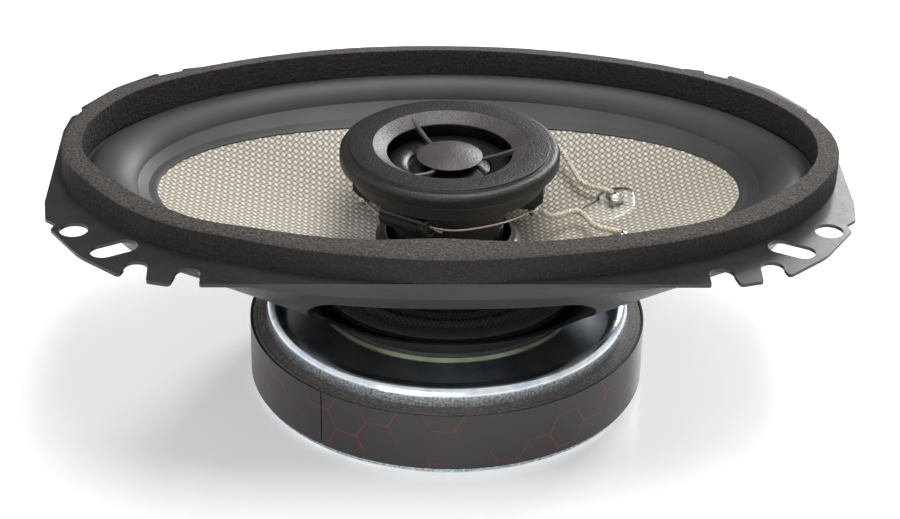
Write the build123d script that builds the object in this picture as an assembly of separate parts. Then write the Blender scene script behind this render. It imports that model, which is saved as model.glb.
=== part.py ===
from build123d import *
import math
import os

# Oval coaxial car speaker, millimetres.
# Origin: centre of the motor's underside. +Z points at the listener, +X lies along the oval's long axis.

# ---- driving dimensions ----

# motor: T-yoke, ferrite ring, top plate
yoke_step = 0.3             # yoke's rim inside the magnet's
yoke_plate_thickness = 4.0
yoke_rim_chamfer = 0.8
magnet_radius = 39.7
magnet_height = 9.8
magnet_bore_radius = 17.0
magnet_edge_chamfer = 0.5
top_plate_step = 3.1        # top plate's rim inside the magnet's
top_plate_thickness = 4.0
top_plate_edge_round = 2.0
land_margin = 0.5           # raised land outside the basket's seat
land_height = 0.5
wrap_thickness = 0.3
wrap_overhang = 2.2         # reach of the wrap over the yoke's rim
wrap_seam_gap = 0.3
wrap_seam_angle = -128.7

# voice coil
former_bore_radius = 12.6
former_wall = 0.2
winding_build = 0.4
winding_length = 9.0
former_tail = 0.5           # former showing below the winding
former_rise = 2.0           # former standing above the cone's neck
coil_air_gap = 0.35         # clearance on each side of the moving coil

# basket
sheet = 0.7
basket_depth = 28.3         # seat to flange face
seat_radius = 25.7
seat_edge_rise = 0.7
seat_floor_inset = 0.3      # flat floor inside the seat's lower edge
flange_length = 155.2
flange_width = 94.0
flange_end_margin = 7.3     # flange beyond the bowl's mouth at the two ends
flange_side_margin = 5.0    # and along the two sides
upper_wall_height = 7.6     # steeper wall between the bowl's knee and the flange face
upper_wall_lean_end = 2.8
upper_wall_lean_side = 2.5
wall_squareness = 2.4       # 2 is an ellipse, higher is squarer
floor_hole_gap = 0.9        # floor hole beyond the top plate's bore
window_floor = 4.0          # lower lip of the windows above the seat
window_top_margin = 3.3     # below the knee
side_window_width = 55.0
end_window_width = 30.0
window_corner = 6.0

# flange: one ear, mirrored to the other three corners
# each point of its outline is (in from the flange's end, in from its side, corner radius)
ear_outline = (
    (31.4, 0.0, 0.5), (31.4, 5.8, 2.1), (27.0, 5.8, 2.1), (26.8, 3.0, 3.0), (26.1, 0.1, 0.7),
    (21.8, 1.3, 0.7), (21.6, 8.4, 2.1), (17.3, 8.4, 2.1), (17.4, 5.4, 2.4), (16.7, 3.4, 0.6),
    (8.6, 10.7, 14.0), (2.4, 20.6, 0.5), (3.1, 22.7, 0.7), (0.9, 24.9, 0.5), (0.0, 31.5, 8.0),
)
screw_hole_in = (6.75, 20.4)
screw_hole_radius = 2.7
slot_in = (14.9, 13.2)
slot_angle = 29.6
slot_length = 9.2
slot_width = 4.9

# foam gasket
foam_end_inset = 1.2        # foam inside the flange's ends
foam_side_inset = 0.1
foam_wall = 4.3
foam_height = 5.6

# cone and surround
seat_recess = 1.6           # ledge for the surround below the flange face
rubber_thickness = 0.6
lip_width = 3.4
roll_width = 9.0
roll_crest = 0.4            # above the flange face
roll_mouth_overlap = 0.7    # roll's outer foot beyond the bowl's mouth
roll_foot_overlap = 0.9     # roll's inner foot on the cone inside its rim
rim_drop = 3.6              # cone's rim below the flange face
cone_depth = 12.4
cone_thickness = 0.7
neck_gap = 0.2              # glue line between cone and former
neck_bead_height = 1.6
neck_bead_width = 2.6
band_width_end = 4.5        # rubber band on the cone inside its rim
band_width_side = 5.9
soft_gap = 0.3              # clearance of the moving body's soft edges from the fixed body

# spider
spider_ring_height = 3.0
spider_ring_inner = 21.0
spider_ring_gap = 0.35
spider_thickness = 0.5
spider_waves = 3
spider_wave_height = 0.9
spider_lip_width = 3.2
spider_reach = 0.3          # lip's edge beyond the basket's seat
spider_collar = 1.2

# eyelets on the cone, where the flexible leads pass through
eyelet_right = (33.6, 5.7)
eyelet_left = (33.4, -12.6)
eyelet_barrel_radius = 1.0
eyelet_barrel_depth = 1.6
eyelet_head_radius = 1.8
eyelet_head_thickness = 0.3
eyelet_head_lift = 0.65
eyelet_foot_radius = 1.4
eyelet_fit = 0.05
solder_dome_height = 0.9
lead_diameter = 1.0
lead_rise = 2.7             # a front lead's end above the cone, over the solder dome
lead_pass = 1.6             # drop of the positive rear lead below the negative one, which it passes
leadout_diameter = 0.4
glue_pad_length = 13.4
glue_pad_width = 8.6
glue_pad_depth = 0.9
glue_pad_turn = 50
glue_pad_shift = 1.6        # pad's middle inward of the eyelet
glue_pad_drifts = (-1.7, -0.8)

# tweeter
post_step = 1.25            # shoulder of the pole round the post
post_wall = 1.3
tweeter_sink = 2.1          # housing's underside below the flange face
motor_depth = 9.0
pot_fit = 0.1
pot_wall = 1.0
pot_floor = 1.2
tweeter_magnet_step = 0.2   # magnet's rim inside the pole plate's
tweeter_magnet_height = 3.4
tweeter_plate_height = 1.6
tweeter_gap = 0.4           # pole plate to coil
tweeter_outer_gap = 0.5     # coil to pot
tweeter_former_wall = 0.3
tweeter_coil_reach = 0.8    # coil below the pole plate's underside
housing_radius = 19.0
housing_wall = 1.2
housing_floor = 1.0
housing_height = 5.5
housing_bore_gap = 0.2      # housing's floor hole outside the post's bore
seat_ring_radius = 12.9
seat_ring_wall = 1.2
dome_crown = 1.5
dome_thickness = 0.3
dome_edge = 0.9             # flat rim of the dome over the coil
dome_margin = 0.2           # dome's rim outside the coil
dome_roll_gap = 0.05        # glue line between dome and roll
dome_lift = 1.8             # dome's base above the housing's underside
dome_roll_radius = 12.6
dome_roll_rise = 1.1
dome_roll_edge = 1.2        # flat edge outside the roll
bezel_clearance = 1.3       # gap round the housing inside the bezel's skirt
bezel_overhang = 1.8        # skirt below the housing's top
bezel_wall = 1.4
bezel_edge_round = 1.1
face_margin = 2.0           # raised face inside the bezel's rim
face_step = 0.4
face_step_lean = 0.15
throat_top_radius = 15.1
throat_bottom_radius = 12.2
throat_depth = 1.6
throat_lip = 0.8
throat_lip_width = 0.4
throat_wall = 0.9
phase_disc_radius = 6.5
phase_disc_rim = 0.4
phase_disc_sink = 2.6       # its rim below the raised face
phase_disc_crown = 1.5
spoke_width = 1.1
spoke_height = 1.1
spoke_angles = (0, 120, 240)
spoke_root = 1.2            # spoke's inner end inside the disc's rim
spoke_top_sink = 0.75       # its outer end below the raised face

# tweeter wiring
lug_angles = (-8, 172, 52)
lug_width = 6.0
lug_reach = 4.7             # lug inward of the housing's wall
lug_set_in = 0.15           # lug's outer face inside the housing's
lug_drop = 4.8
lug_chamfer = 1.8
pin_set_in = 2.0            # pins inside the housing's outer face
pin_width = 1.6
pin_thickness = 0.6
pin_length = 8.0
solder_radius = 1.2
solder_rise = 0.5           # centre of the solder above the pin's tip
capacitor_radius = 2.5
capacitor_length = 11.0
capacitor_angle = -123.5
capacitor_gap = 1.5         # between it and the post
capacitor_drop = 0.4        # gap above it to the housing
capacitor_groove = 0.35
capacitor_groove_in = 1.6   # groove's middle from the wired end
capacitor_recess = 0.4      # seal below the crimped rim
capacitor_rim = 0.9
wire_diameter = 0.55
wire_pitch = 2.0            # spacing of the capacitor's two wires

# fasteners and terminals
centre_screw_radius = 2.0
centre_screw_length = 25.0
centre_screw_head_radius = 4.0
centre_screw_head_height = 2.4
centre_screw_sink = 0.6
centre_screw_bevel = 0.5
screw_head_gap = 0.4
hex_socket_depth = 1.4
hex_socket_radius = 1.7
screw_fit = 0.1
basket_rivet_count = 4
basket_rivet_radius = 1.7
basket_rivet_height = 0.9
terminal_x = 22.0
terminal_tab_width = 18.0
terminal_tab_drop = 11.0
terminal_tab_back = 2.9     # outer face of the tab behind the flange's edge
board_drop = 0.7            # board's top below the bowl's mouth, clear of the panel
board_width = 17.0
board_height = 9.0
board_thickness = 1.3
blade_thickness = 0.8
blade_length = 14.0
positive_blade_width = 4.8
negative_blade_width = 2.8
blade_pitch = 9.0
blade_drop = 0.6            # blade's top below the board's
blade_bevel = 0.7
terminal_rivet_radius = 0.9
terminal_rivet_rise = 2.2   # above the board's middle

# ---- levels and sizes worked out from them ----

yoke_radius = magnet_radius - yoke_step
top_plate_radius = magnet_radius - top_plate_step
land_radius = seat_radius + land_margin
seat_floor_radius = seat_radius - seat_floor_inset
plate_top = yoke_plate_thickness
magnet_top = plate_top + magnet_height
pole_top = magnet_top + top_plate_thickness
seat_z = pole_top + land_height
flange_top = seat_z + basket_depth
knee_z = flange_top - upper_wall_height
ledge_top = flange_top - seat_recess
mouth_z = ledge_top - sheet
mouth_length = flange_length - 2 * flange_end_margin
mouth_width = flange_width - 2 * flange_side_margin
knee_length = mouth_length - 2 * upper_wall_lean_end
knee_width = mouth_width - 2 * upper_wall_lean_side
wall_inset = sheet * 0.7
window_height = knee_z - window_top_margin - seat_z - window_floor
window_level = seat_z + window_floor + window_height / 2
lip_z = ledge_top + soft_gap
roll_outer_length = mouth_length + 2 * roll_mouth_overlap
oval_ratio = (mouth_width + 2 * roll_mouth_overlap) / roll_outer_length
rim_length = roll_outer_length - 2 * roll_width
rim_width = rim_length * oval_ratio
rim_z = flange_top - rim_drop
neck_z = rim_z - cone_depth
recess_length = roll_outer_length + 2 * (lip_width + soft_gap)
recess_width = (roll_outer_length + 2 * lip_width) * oval_ratio + 2 * soft_gap
foam_length = flange_length - 2 * foam_end_inset
foam_width = flange_width - 2 * foam_side_inset
former_radius = former_bore_radius + former_wall
neck_radius = former_radius + neck_gap
winding_radius = former_radius + winding_build
pole_radius = former_bore_radius - coil_air_gap
top_plate_bore = winding_radius + coil_air_gap
floor_hole_radius = top_plate_bore + floor_hole_gap
basket_rivet_circle = (floor_hole_radius + spider_ring_inner) / 2
post_radius = pole_radius - post_step
post_bore_radius = post_radius - post_wall
winding_bottom = (magnet_top + pole_top - winding_length) / 2
former_bottom = winding_bottom - former_tail
former_top = neck_z + former_rise
spider_level = seat_z + sheet + spider_ring_height + soft_gap
spider_radius = seat_radius + spider_reach
housing_z = flange_top - tweeter_sink
housing_top = housing_z + housing_height
pot_radius = post_bore_radius - pot_fit
pot_z = housing_z - motor_depth
pot_bore_radius = pot_radius - pot_wall
tweeter_coil_radius = pot_bore_radius - tweeter_outer_gap
tweeter_coil_bore = tweeter_coil_radius - tweeter_former_wall
tweeter_plate_radius = tweeter_coil_bore - tweeter_gap
tweeter_magnet_radius = tweeter_plate_radius - tweeter_magnet_step
tweeter_plate_z = pot_z + pot_floor + tweeter_magnet_height
dome_radius = tweeter_coil_radius + dome_margin
lug_inner_radius = housing_radius - lug_reach
pin_radius = housing_radius - pin_set_in
bezel_radius = housing_radius + bezel_clearance + bezel_wall
face_radius = bezel_radius - face_margin
bezel_z = housing_top - bezel_overhang
face_z = housing_top + throat_depth
dome_z = housing_z + dome_lift
terminal_tab_face = flange_width / 2 - terminal_tab_back
board_z = mouth_z - board_height / 2 - board_drop
BASE = (Align.CENTER, Align.CENTER, Align.MIN)


# ---- helpers ----

def disc(radius, bottom, height):
    """Plain disc standing on the given level."""
    return Pos(0, 0, bottom) * Cylinder(radius, height, align=BASE)


def tube(outer, inner, bottom, height):
    """Plain ring standing on the given level."""
    return disc(outer, bottom, height) - disc(inner, bottom, height)


def turned(points):
    """Solid turned about Z from (radius, height) points."""
    outline = Polyline([(r, 0, z) for r, z in points], close=True)
    return revolve(make_face(outline), Axis.Z)


def squarish_oval(length, width, squareness, z):
    """Flat oval face, from an ellipse at squareness 2 to a rounder-cornered shape above it."""
    points = []
    count = 32
    for i in range(count):
        c = math.cos(2 * math.pi * i / count)
        s = math.sin(2 * math.pi * i / count)
        x = length / 2 * math.copysign(abs(c) ** (2 / squareness), c)
        y = width / 2 * math.copysign(abs(s) ** (2 / squareness), s)
        points.append((x, y, z))
    return make_face(Spline(points, periodic=True))


def ellipse_at(length, width, z):
    """Flat ellipse face at a level."""
    return Pos(0, 0, z) * Ellipse(length / 2, width / 2)


def ellipse_column(length, width, bottom, height):
    """Upright column of elliptic section."""
    return Pos(0, 0, bottom) * extrude(Ellipse(length / 2, width / 2), height)


def polar(radius, angle, z=0.0):
    """Point at a radius and an angle in degrees."""
    return (radius * math.cos(math.radians(angle)), radius * math.sin(math.radians(angle)), z)


def half_lens(radius, height):
    """Spherical cap standing on the origin."""
    ball = (radius ** 2 + height ** 2) / (2 * height)
    return Pos(0, 0, height - ball) * Sphere(ball) & Cylinder(radius + 1, height, align=BASE)


def lead(points, diameter):
    """Round wire or braided lead along straight runs joined by tangent arcs as large as the runs allow."""
    vectors = [Vector(*p) for p in points]
    radii = []
    for before, corner, after in zip(vectors, vectors[1:], vectors[2:]):
        shorter = min((corner - before).length, (after - corner).length)
        turn = math.radians((corner - before).get_angle(after - corner))
        radii.append(0.45 * shorter / math.tan(turn / 2))
    print("bend radii", [round(r, 1) for r in radii])
    path = FilletPolyline(*vectors, radius=radii)
    section = Plane(origin=path @ 0, z_dir=path % 0) * Circle(diameter / 2)
    return sweep(section, path=path)


# ---- motor ----

def make_yoke():
    """Back plate and centre pole in one forging, bored for the screw that holds the tweeter post."""
    plate = disc(yoke_radius, 0, yoke_plate_thickness)
    plate = chamfer(plate.edges().group_by(Axis.Z)[0], yoke_rim_chamfer)
    body = plate + disc(pole_radius, yoke_plate_thickness, pole_top - yoke_plate_thickness)
    body -= disc(centre_screw_radius + screw_fit, -1, pole_top + 2)
    sink = centre_screw_head_height + centre_screw_sink
    return body - disc(centre_screw_head_radius + screw_head_gap, -1, sink + 1)


def make_magnet():
    """Ferrite ring with ground faces and broken edges."""
    ring = tube(magnet_radius, magnet_bore_radius, plate_top, magnet_height)
    outer = ring.edges().filter_by(GeomType.CIRCLE).filter_by(lambda e: e.radius > magnet_bore_radius + 1)
    return chamfer(outer, magnet_edge_chamfer)


def make_magnet_wrap():
    """Printed film round the magnet, left open by a hair at its seam."""
    outer = magnet_radius + wrap_thickness
    band = tube(outer, magnet_radius, plate_top - wrap_overhang, magnet_height + wrap_overhang)
    seam = Pos(*polar(outer, wrap_seam_angle, magnet_top / 2)) * Rot(0, 0, wrap_seam_angle)
    return band - seam * Box(3, wrap_seam_gap, 2 * magnet_top)


def make_top_plate():
    """Top plate with a pressed round edge and a raised seat for the basket."""
    plate = disc(top_plate_radius, magnet_top, top_plate_thickness)
    plate = fillet(plate.edges().group_by(Axis.Z)[-1], top_plate_edge_round)
    plate += disc(land_radius, pole_top - 0.1, land_height + 0.1)
    return plate - disc(top_plate_bore, magnet_top - 1, top_plate_thickness + land_height + 2)


# ---- basket ----

def basket_volume(inset, rise):
    """Solid bounded by the basket's bowl, moved in by the inset and up by the rise."""
    across = 2 * (seat_radius - inset)
    seat = squarish_oval(across, across, 2, seat_z + seat_edge_rise + rise)
    knee = squarish_oval(knee_length - 2 * inset, knee_width - 2 * inset, wall_squareness, knee_z + rise)
    mouth = squarish_oval(mouth_length - 2 * inset, mouth_width - 2 * inset, wall_squareness, mouth_z + rise)
    return loft([seat, knee], ruled=True) + loft([knee, mouth], ruled=True)


def flange_corners():
    """Places of the four corners, each with its two signs."""
    return ((1, 1), (-1, 1), (-1, -1), (1, -1))


def from_corner(inset, sx, sy):
    """Point given inwards from the flange's end and side, in the corner with these signs."""
    return (sx * (flange_length / 2 - inset[0]), sy * (flange_width / 2 - inset[1]))


def flange_outline():
    """Flange's closed outline: straight ends and sides, with a notched ear at each corner."""
    points = []
    radii = []
    for sx, sy in flange_corners():
        ear = [(from_corner(p, sx, sy), p[2]) for p in ear_outline]
        if sx == sy:
            ear.reverse()
        points += [p for p, _ in ear]
        radii += [r for _, r in ear]
    return make_face(FilletPolyline(*points, radius=radii, close=True))


def make_flange():
    """Flat steel flange with a screw hole and a slot in each ear, and the block its recess is cut in."""
    face = flange_outline()
    for sx, sy in flange_corners():
        face -= Pos(*from_corner(screw_hole_in, sx, sy)) * Circle(screw_hole_radius)
        slot = Rot(0, 0, sx * sy * slot_angle) * SlotOverall(slot_length, slot_width)
        face -= Pos(*from_corner(slot_in, sx, sy)) * slot
    flange = Pos(0, 0, flange_top - sheet) * extrude(face, sheet)
    pan = ellipse_column(recess_length + 2 * sheet, recess_width + 2 * sheet, mouth_z, seat_recess + sheet)
    return flange + pan


def window_cutter(width, turn):
    """Rounded window driven sideways through the basket's wall, both ways."""
    corner = min(window_corner, 0.45 * window_height)
    outline = RectangleRounded(width, window_height, corner)
    bar = extrude(outline, flange_length, both=True)
    return Pos(0, 0, window_level) * Rot(0, 0, turn) * Rot(90, 0, 0) * bar


def make_basket():
    """Pressed steel basket: seat, windowed bowl, flange and the bent-down tab for the terminals."""
    shell = disc(seat_floor_radius, seat_z, seat_edge_rise) + basket_volume(0, 0)
    hollow = basket_volume(wall_inset, wall_inset)
    floor = disc(seat_floor_radius - wall_inset, seat_z + sheet, seat_edge_rise)
    shell = shell - hollow - floor
    shell -= window_cutter(side_window_width, 0)
    shell -= window_cutter(end_window_width, 90)
    inset = 2 * wall_inset
    opening = squarish_oval(mouth_length - inset, mouth_width - inset, wall_squareness, mouth_z - sheet)
    tab_y = terminal_tab_face - sheet / 2
    tab = Pos(terminal_x, tab_y, flange_top - sheet / 2 - terminal_tab_drop / 2)
    body = shell + make_flange() + tab * Box(terminal_tab_width, sheet, terminal_tab_drop)
    body -= ellipse_column(recess_length, recess_width, ledge_top, seat_recess + 1)
    body -= extrude(opening, seat_recess + 2 * sheet)
    for side in (-1, 1):
        body -= terminal_rivet_bar(side)
    return body - disc(floor_hole_radius, seat_z - 1, 3)


def make_basket_rivets():
    """Rivet heads that clamp the basket's floor to the top plate."""
    heads = []
    for i in range(basket_rivet_count):
        place = polar(basket_rivet_circle, 45 + 360 * i / basket_rivet_count, seat_z + sheet)
        head = Pos(*place) * Cylinder(basket_rivet_radius, basket_rivet_height, align=BASE)
        heads.append(fillet(head.edges().group_by(Axis.Z)[-1], basket_rivet_height / 2))
    return Compound(children=heads)


def make_foam_gasket():
    """Closed-cell foam ring on the flange, reaching down into the recess as far as the surround's lip."""
    hole_length = foam_length - 2 * foam_wall
    hole_width = foam_width - 2 * foam_wall
    skirt_z = lip_z + rubber_thickness + soft_gap
    gap = 2 * soft_gap
    ring = ellipse_column(foam_length, foam_width, flange_top, foam_height)
    ring += ellipse_column(recess_length - gap, recess_width - gap, skirt_z, foam_height)
    return ring - ellipse_column(hole_length, hole_width, skirt_z - 1, foam_height + 3)


# ---- moving cone ----

def cone_air(rise):
    """Solid above the neck bounded by the cone's front face, raised by the given amount."""
    neck = ellipse_at(2 * neck_radius, 2 * neck_radius, neck_z + rise)
    rim = ellipse_at(rim_length, rim_width, rim_z + rise)
    return loft([neck, rim], ruled=True)


def eyelet_places():
    """Centres of the two eyelets on the cone's front face."""
    places = []
    for x, y in (eyelet_right, eyelet_left):
        share = 0.5
        for _ in range(40):
            a = neck_radius + (rim_length / 2 - neck_radius) * share
            b = neck_radius + (rim_width / 2 - neck_radius) * share
            share *= math.sqrt((x / a) ** 2 + (y / b) ** 2)
        places.append((x, y, neck_z + (rim_z - neck_z) * share))
    return places


def make_cone():
    """Oval cone of woven glass fibre, holed for the eyelets."""
    cone = cone_air(-cone_thickness) - cone_air(0)
    cone -= disc(former_radius, neck_z - 5, 10)
    for x, y, z in eyelet_places():
        cone -= Pos(x, y, z) * Cylinder(eyelet_barrel_radius + eyelet_fit, 6)
    return cone


def make_surround():
    """Rubber surround: band glued on the cone, half roll, and flat lip on the basket's ledge."""
    bare_length = rim_length - 2 * band_width_end
    bare_width = rim_width - 2 * band_width_side
    band = cone_air(0) - cone_air(rubber_thickness)
    band -= ellipse_column(bare_length, bare_width, neck_z - 1, cone_depth + 5)
    t = rubber_thickness
    inner = rim_length / 2 - roll_foot_overlap
    outer = roll_outer_length / 2
    edge = outer + lip_width
    crest_z = flange_top + roll_crest
    middle = (inner + outer) / 2
    profile = make_face([
        ThreePointArc((inner, 0, rim_z), (middle, 0, crest_z), (outer, 0, lip_z + t)),
        Polyline((outer, 0, lip_z + t), (edge, 0, lip_z + t), (edge, 0, lip_z), (outer - t, 0, lip_z)),
        ThreePointArc((outer - t, 0, lip_z), (middle, 0, crest_z - t), (inner + t, 0, rim_z - t)),
        Polyline((inner + t, 0, rim_z - t), (inner, 0, rim_z - t), (inner, 0, rim_z)),
    ])
    roll = scale(revolve(profile, Axis.Z), by=(1, oval_ratio, 1))
    return roll + band


def make_neck_glue():
    """Bead of amber adhesive between cone and former."""
    width = neck_bead_width
    bead = turned([
        (former_radius, neck_z - 0.2), (former_radius, neck_z + neck_bead_height),
        (former_radius + 0.85 * width, neck_z + 0.56 * neck_bead_height),
        (former_radius + width, neck_z + 0.1),
    ])
    return bead & cone_air(0)


def make_voice_coil_former():
    """Aluminium former, a thin tube glued in the cone's neck."""
    return tube(former_radius, former_bore_radius, former_bottom, former_top - former_bottom)


def make_voice_coil_winding():
    """Copper winding as one solid layer on the former."""
    return tube(winding_radius, former_radius, winding_bottom, winding_length)


def make_spider():
    """Corrugated cloth spider between the former and the ring in the basket."""
    t = spider_thickness
    level = spider_level
    start = former_radius + spider_collar
    end = spider_radius - spider_lip_width
    middle = level + spider_wave_height / 2
    lower = []
    steps = 8 * spider_waves
    for i in range(steps + 1):
        share = i / steps
        wave = -math.cos(2 * math.pi * spider_waves * share) * spider_wave_height / 2
        lower.append((start + (end - start) * share, 0, middle + wave))
    upper = [(x, y, z + t) for x, y, z in reversed(lower)]
    rest = Polyline(lower[-1], (spider_radius, 0, level), (spider_radius, 0, level + t), upper[0])
    collar = Polyline(upper[-1], (former_radius, 0, level + t), (former_radius, 0, level), lower[0])
    profile = make_face([Spline(lower), rest, Spline(upper), collar])
    return revolve(profile, Axis.Z)


def make_spider_ring():
    """Fibre ring in the basket's dish that the spider is glued to."""
    low = seat_z + sheet
    gap = spider_ring_gap
    lean = (knee_width / 2 - seat_radius) / (knee_z - seat_z - seat_edge_rise)
    foot = seat_floor_radius - wall_inset - gap
    crown = seat_radius - wall_inset - gap + lean * (spider_ring_height - seat_edge_rise)
    return turned([(spider_ring_inner, low), (foot, low), (crown, low + spider_ring_height),
                   (spider_ring_inner, low + spider_ring_height)])


def make_cone_eyelets():
    """Two tubular brass eyelets with a solder dome on each head."""
    pieces = []
    for x, y, z in eyelet_places():
        height = eyelet_barrel_depth + eyelet_head_lift
        thin = eyelet_head_thickness
        barrel = Pos(x, y, z - eyelet_barrel_depth) * Cylinder(eyelet_barrel_radius, height, align=BASE)
        top = z + eyelet_head_lift
        head = Pos(x, y, top) * Cylinder(eyelet_head_radius, thin, align=BASE)
        dome = Pos(x, y, top + thin) * half_lens(eyelet_head_radius - 0.2, solder_dome_height)
        foot = Pos(x, y, z - eyelet_barrel_depth - thin) * Cylinder(eyelet_foot_radius, thin, align=BASE)
        pieces.append(barrel + head + dome + foot)
    return Compound(children=pieces)


def make_eyelet_glue():
    """Clear adhesive pads that hold the leads down round the eyelets."""
    pads = []
    for (x, y, z), drift in zip(eyelet_places(), glue_pad_drifts):
        outline = Rot(0, 0, glue_pad_turn) * SlotOverall(glue_pad_length, glue_pad_width)
        pad = Pos(x - glue_pad_shift, y + drift, z - 3) * extrude(outline, 4.1)
        pad &= cone_air(0) - cone_air(glue_pad_depth)
        pads.append(pad - Pos(x, y, z) * Cylinder(eyelet_head_radius + 0.1, 8))
    return Compound(children=pads)


def make_coil_leadouts():
    """Lead-out wires from the eyelets down the cone's back to the former, ending at the spider's collar."""
    wires = []
    for x, y, z in eyelet_places():
        turn = math.degrees(math.atan2(y, x)) / 2
        start = (x - 2.4, y * 0.93, z - cone_thickness - 1.6)
        neck_level = neck_z - cone_thickness - 1.0
        end_level = spider_level + spider_thickness + 0.6
        neck = polar(former_radius + 1.4, turn, neck_level)
        middle = polar(former_radius + 0.7, turn, 0.6 * neck_level + 0.4 * end_level)
        end = polar(former_radius + 0.35, turn, end_level)
        wires.append(lead([start, neck, middle, end], leadout_diameter))
    return Compound(children=wires)


# ---- tweeter ----

def make_tweeter_post():
    """Post on the pole that carries the tweeter; its top is bored out for the tweeter's own motor."""
    post = disc(post_radius, pole_top, housing_z - pole_top)
    post -= disc(post_bore_radius, pot_z, motor_depth + 1)
    return post - disc(centre_screw_radius + screw_fit / 2, pole_top - 1, centre_screw_length - pole_top + 5)


def make_centre_screw():
    """Socket screw through the yoke into the post."""
    head_top = centre_screw_sink + centre_screw_head_height
    head = disc(centre_screw_head_radius, centre_screw_sink, centre_screw_head_height)
    head = chamfer(head.edges().group_by(Axis.Z)[0], centre_screw_bevel)
    socket = Pos(0, 0, centre_screw_sink) * extrude(RegularPolygon(hex_socket_radius, 6), hex_socket_depth)
    return head - socket + disc(centre_screw_radius, head_top, centre_screw_length - head_top)


def make_tweeter_pot():
    """Steel cup of the tweeter's motor, a slide fit in the post."""
    height = pot_floor + tweeter_magnet_height + tweeter_plate_height
    return disc(pot_radius, pot_z, height) - disc(pot_bore_radius, pot_z + pot_floor, height)


def make_tweeter_magnet():
    """Neodymium disc on the cup's floor."""
    return disc(tweeter_magnet_radius, pot_z + pot_floor, tweeter_magnet_height)


def make_tweeter_plate():
    """Pole plate on the neodymium disc."""
    return disc(tweeter_plate_radius, tweeter_plate_z, tweeter_plate_height)


def make_tweeter_coil():
    """Tweeter voice coil: a thin tube hanging from the dome into the gap."""
    bottom = tweeter_plate_z - tweeter_coil_reach
    return tube(tweeter_coil_radius, tweeter_coil_bore, bottom, dome_z - bottom)


def make_tweeter_dome():
    """Domed diaphragm, a thin spherical cap with a flat edge over the coil."""
    ball = (dome_radius ** 2 + dome_crown ** 2) / (2 * dome_crown)
    centre = dome_z + dome_thickness + dome_crown - ball
    cap = Pos(0, 0, centre) * (Sphere(ball) - Sphere(ball - dome_thickness))
    cap &= disc(dome_radius, dome_z + dome_thickness, 5)
    return cap + tube(dome_radius, dome_radius - dome_edge, dome_z, dome_thickness)


def make_tweeter_surround():
    """Half-roll suspension of the dome, with the flat edge that lies on the housing's seat ring."""
    inner = dome_radius + dome_roll_gap
    outer = dome_roll_radius
    t = dome_thickness
    middle = (inner + outer) / 2
    rise = dome_roll_rise
    edge = outer + dome_roll_edge
    profile = make_face([
        ThreePointArc((inner, 0, dome_z + t), (middle, 0, dome_z + t + rise), (outer, 0, dome_z + t)),
        Line((outer, 0, dome_z + t), (edge, 0, dome_z + t)),
        Line((edge, 0, dome_z + t), (edge, 0, dome_z)),
        Line((edge, 0, dome_z), (outer - t, 0, dome_z)),
        ThreePointArc((outer - t, 0, dome_z), (middle, 0, dome_z + rise), (inner + t, 0, dome_z)),
        Line((inner + t, 0, dome_z), (inner, 0, dome_z)),
        Line((inner, 0, dome_z), (inner, 0, dome_z + t)),
    ])
    return revolve(profile, Axis.Z)


def make_tweeter_housing():
    """Moulded housing: floor on the post, outer wall, seat ring and the three lugs that carry the pins."""
    floor = tube(housing_radius, post_bore_radius + housing_bore_gap, housing_z, housing_floor)
    wall = tube(housing_radius, housing_radius - housing_wall, housing_z, housing_height)
    ring_top = dome_z - soft_gap
    ring = tube(seat_ring_radius + seat_ring_wall, seat_ring_radius, housing_z, ring_top - housing_z)
    body = floor + wall + ring
    length = housing_radius - lug_inner_radius
    for angle in lug_angles:
        lug = Box(length, lug_width, lug_drop + 0.2)
        lug = chamfer(lug.edges().filter_by(Axis.Y).group_by(Axis.Z)[0].sort_by(Axis.X)[-1], lug_chamfer)
        place = polar(housing_radius - length / 2 - lug_set_in, angle, housing_z - lug_drop / 2 + 0.1)
        body += Pos(*place) * Rot(0, 0, angle) * lug
    for angle in lug_angles:
        body -= pin_at(angle)
    return body


def pin_at(angle):
    """One flat pin, standing in its lug."""
    bottom = housing_z + housing_floor - pin_length
    place = polar(pin_radius, angle, bottom)
    return Pos(*place) * Rot(0, 0, angle) * Box(pin_thickness, pin_width, pin_length, align=BASE)


def make_tweeter_pins():
    """Tinned pins moulded into the lugs."""
    return Compound(children=[pin_at(angle) for angle in lug_angles])


def solder_place(angle):
    """Centre of the solder joint at the tip of a pin."""
    return polar(pin_radius, angle, housing_z + housing_floor - pin_length + solder_rise)


def make_lug_solder():
    """Solder joints round the tips of the pins."""
    joints = [Pos(*solder_place(a)) * Sphere(solder_radius) - pin_at(a) for a in lug_angles]
    return Compound(children=joints)


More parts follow.
